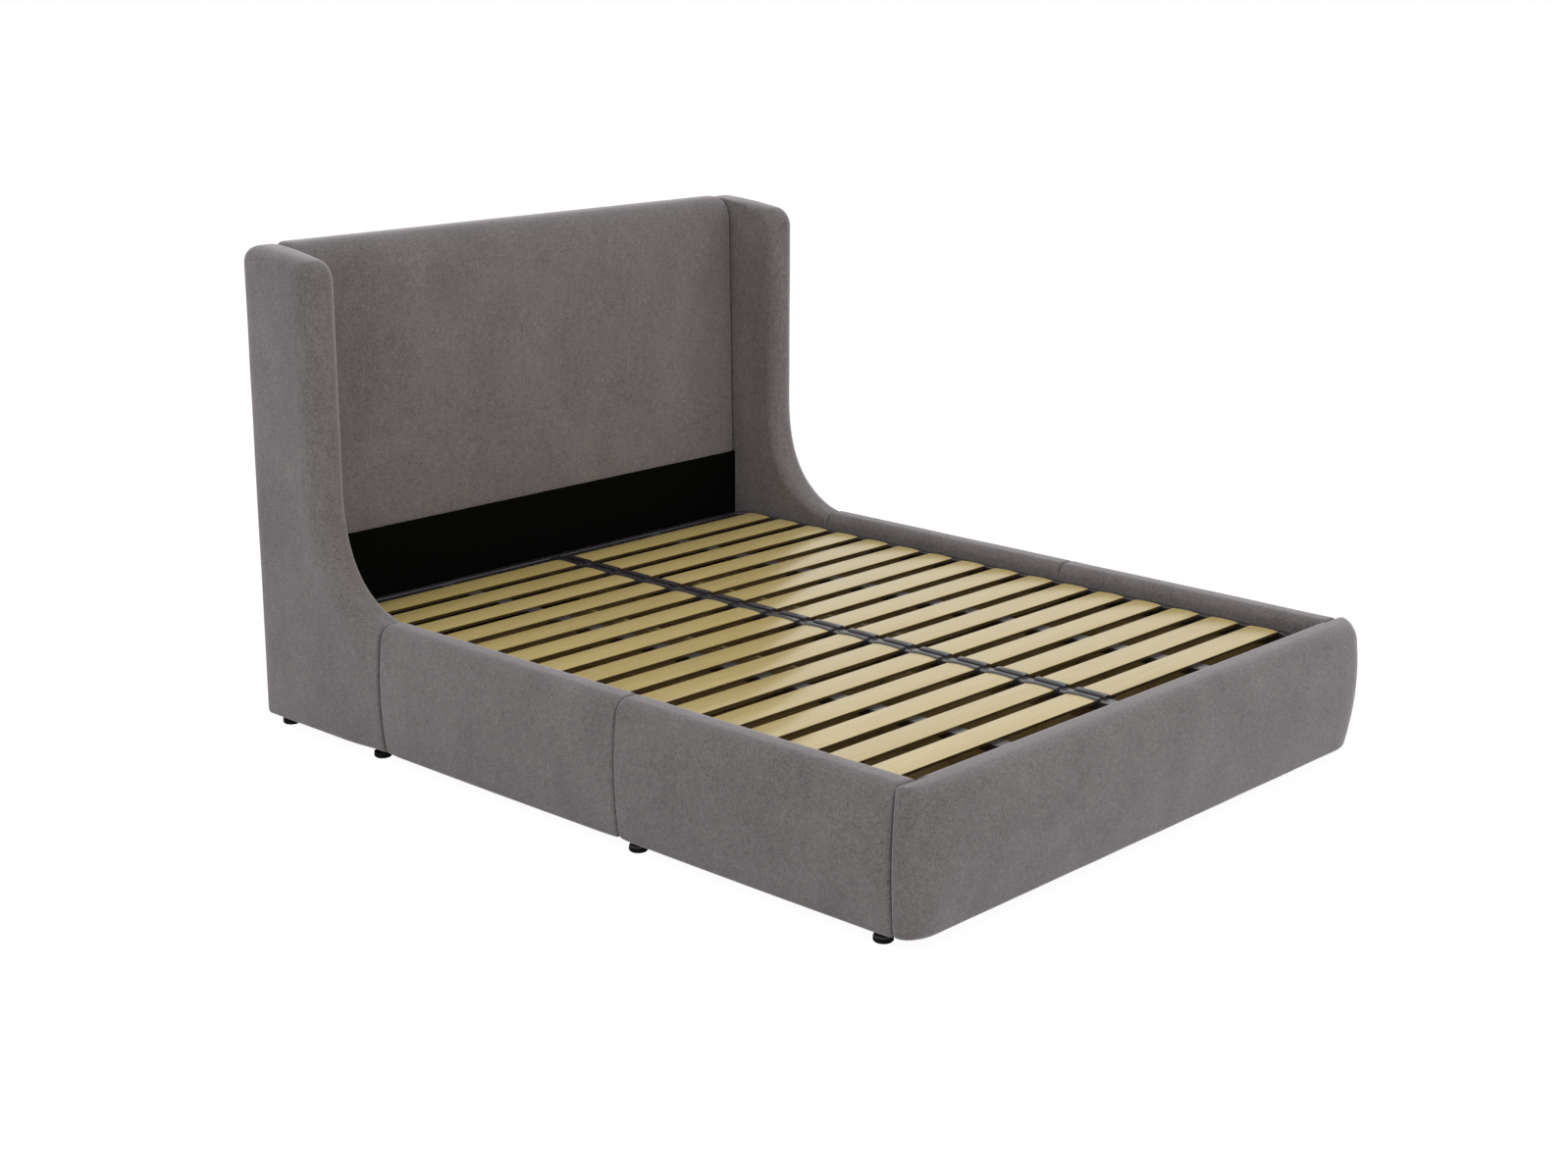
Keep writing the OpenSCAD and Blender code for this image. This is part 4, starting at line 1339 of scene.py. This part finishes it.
@dataclass
class Studio:
    """A pale floor, soft lamps, a white surround and the camera."""

    camera_place: Point = (-4.5092, -4.1180, 2.0919)
    azimuth: float = -47.05
    pitch: float = 15.352
    roll: float = 0.235
    lens: float = 55.02
    sensor: float = 36.0
    world_light: float = 0.86
    floor_size: float = 40.0
    floor_tone: float = 0.86
    floor_glow: float = 1.06
    floor_veil: float = 0.9
    lamps: tuple[Lamp, ...] = (Lamp("foot_light", (1.5, -5.0, 1.2), 18),
                               Lamp("side_light", (-5.0, -0.6, 2.2), 8))

    def build(self) -> None:
        """Builds the set."""
        bpy.context.scene.view_settings.view_transform = "Standard"
        self._camera()
        self._surround()
        self._floor()
        for lamp in self.lamps:
            lamp.hang()

    def _camera(self) -> None:
        """Puts the camera where the photograph was taken from."""
        data = bpy.data.cameras.new("camera")
        data.lens = self.lens
        data.sensor_width = self.sensor
        camera = put("camera", data)
        turn = (Matrix.Rotation(math.radians(self.azimuth), 4, "Z")
                @ Matrix.Rotation(math.radians(90 - self.pitch), 4, "X")
                @ Matrix.Rotation(math.radians(self.roll), 4, "Z"))
        camera.matrix_world = Matrix.Translation(self.camera_place) @ turn
        bpy.context.scene.camera = camera

    def _surround(self) -> None:
        """Makes the world: white to the eye and in reflections, and an even pale light on the bed."""
        world = bpy.data.worlds.new("surround")
        world.use_nodes = True
        tree = Tree(world.node_tree)
        path = tree.node("ShaderNodeLightPath").outputs
        rays = ("Is Camera Ray", "Is Glossy Ray", "Is Transmission Ray")
        eye, mirror, glass = (Amount(tree, path[ray]) for ray in rays)
        seen = eye.greater(mirror.greater(glass))
        strength = tree.node("ShaderNodeMix", values={0: seen, 2: self.world_light, 3: 1.0})
        background = world.node_tree.nodes["Background"]
        tree.feed(background.inputs["Strength"], strength.outputs[0])
        tree.feed(background.inputs["Color"], WHITE)
        bpy.context.scene.world = world

    def _floor(self) -> None:
        """Lays a floor that is white to the eye and keeps a light shadow near the bed."""
        mesh = bmesh.new()
        bmesh.ops.create_grid(mesh, x_segments=2, y_segments=2, size=self.floor_size / 2)
        floor = solid("floor", mesh)
        graph = Graph("floor_white")
        graph.dress(Base_Color=(self.floor_tone,) * 3, Roughness=1.0, Specular_IOR_Level=0.0)
        glow = graph.node("ShaderNodeEmission", values={"Color": WHITE, "Strength": self.floor_glow})
        seen = Amount(graph, graph.node("ShaderNodeLightPath").outputs["Is Camera Ray"])
        mix = graph.node("ShaderNodeMixShader", values={
            0: seen * self.floor_veil, 1: graph.shader.outputs[0], 2: glow.outputs[0]})
        graph.feed(graph.output.inputs["Surface"], mix.outputs[0])
        floor.data.materials.append(graph.material)


def main() -> None:
    """Builds the bed's looks round the CAD frame, in order."""
    logging.basicConfig(level=logging.INFO, format="%(name)s: %(message)s")
    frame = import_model()
    Studio().build()
    Carcass().dress(frame["nodes"])
    for key, left in DRAWERS.items():
        DrawerFront(key, left).build()
    for left in (True, False):
        Wing(left).build()
    Headboard().build()
    Footboard().build()


if __name__ == "__main__":
    main()
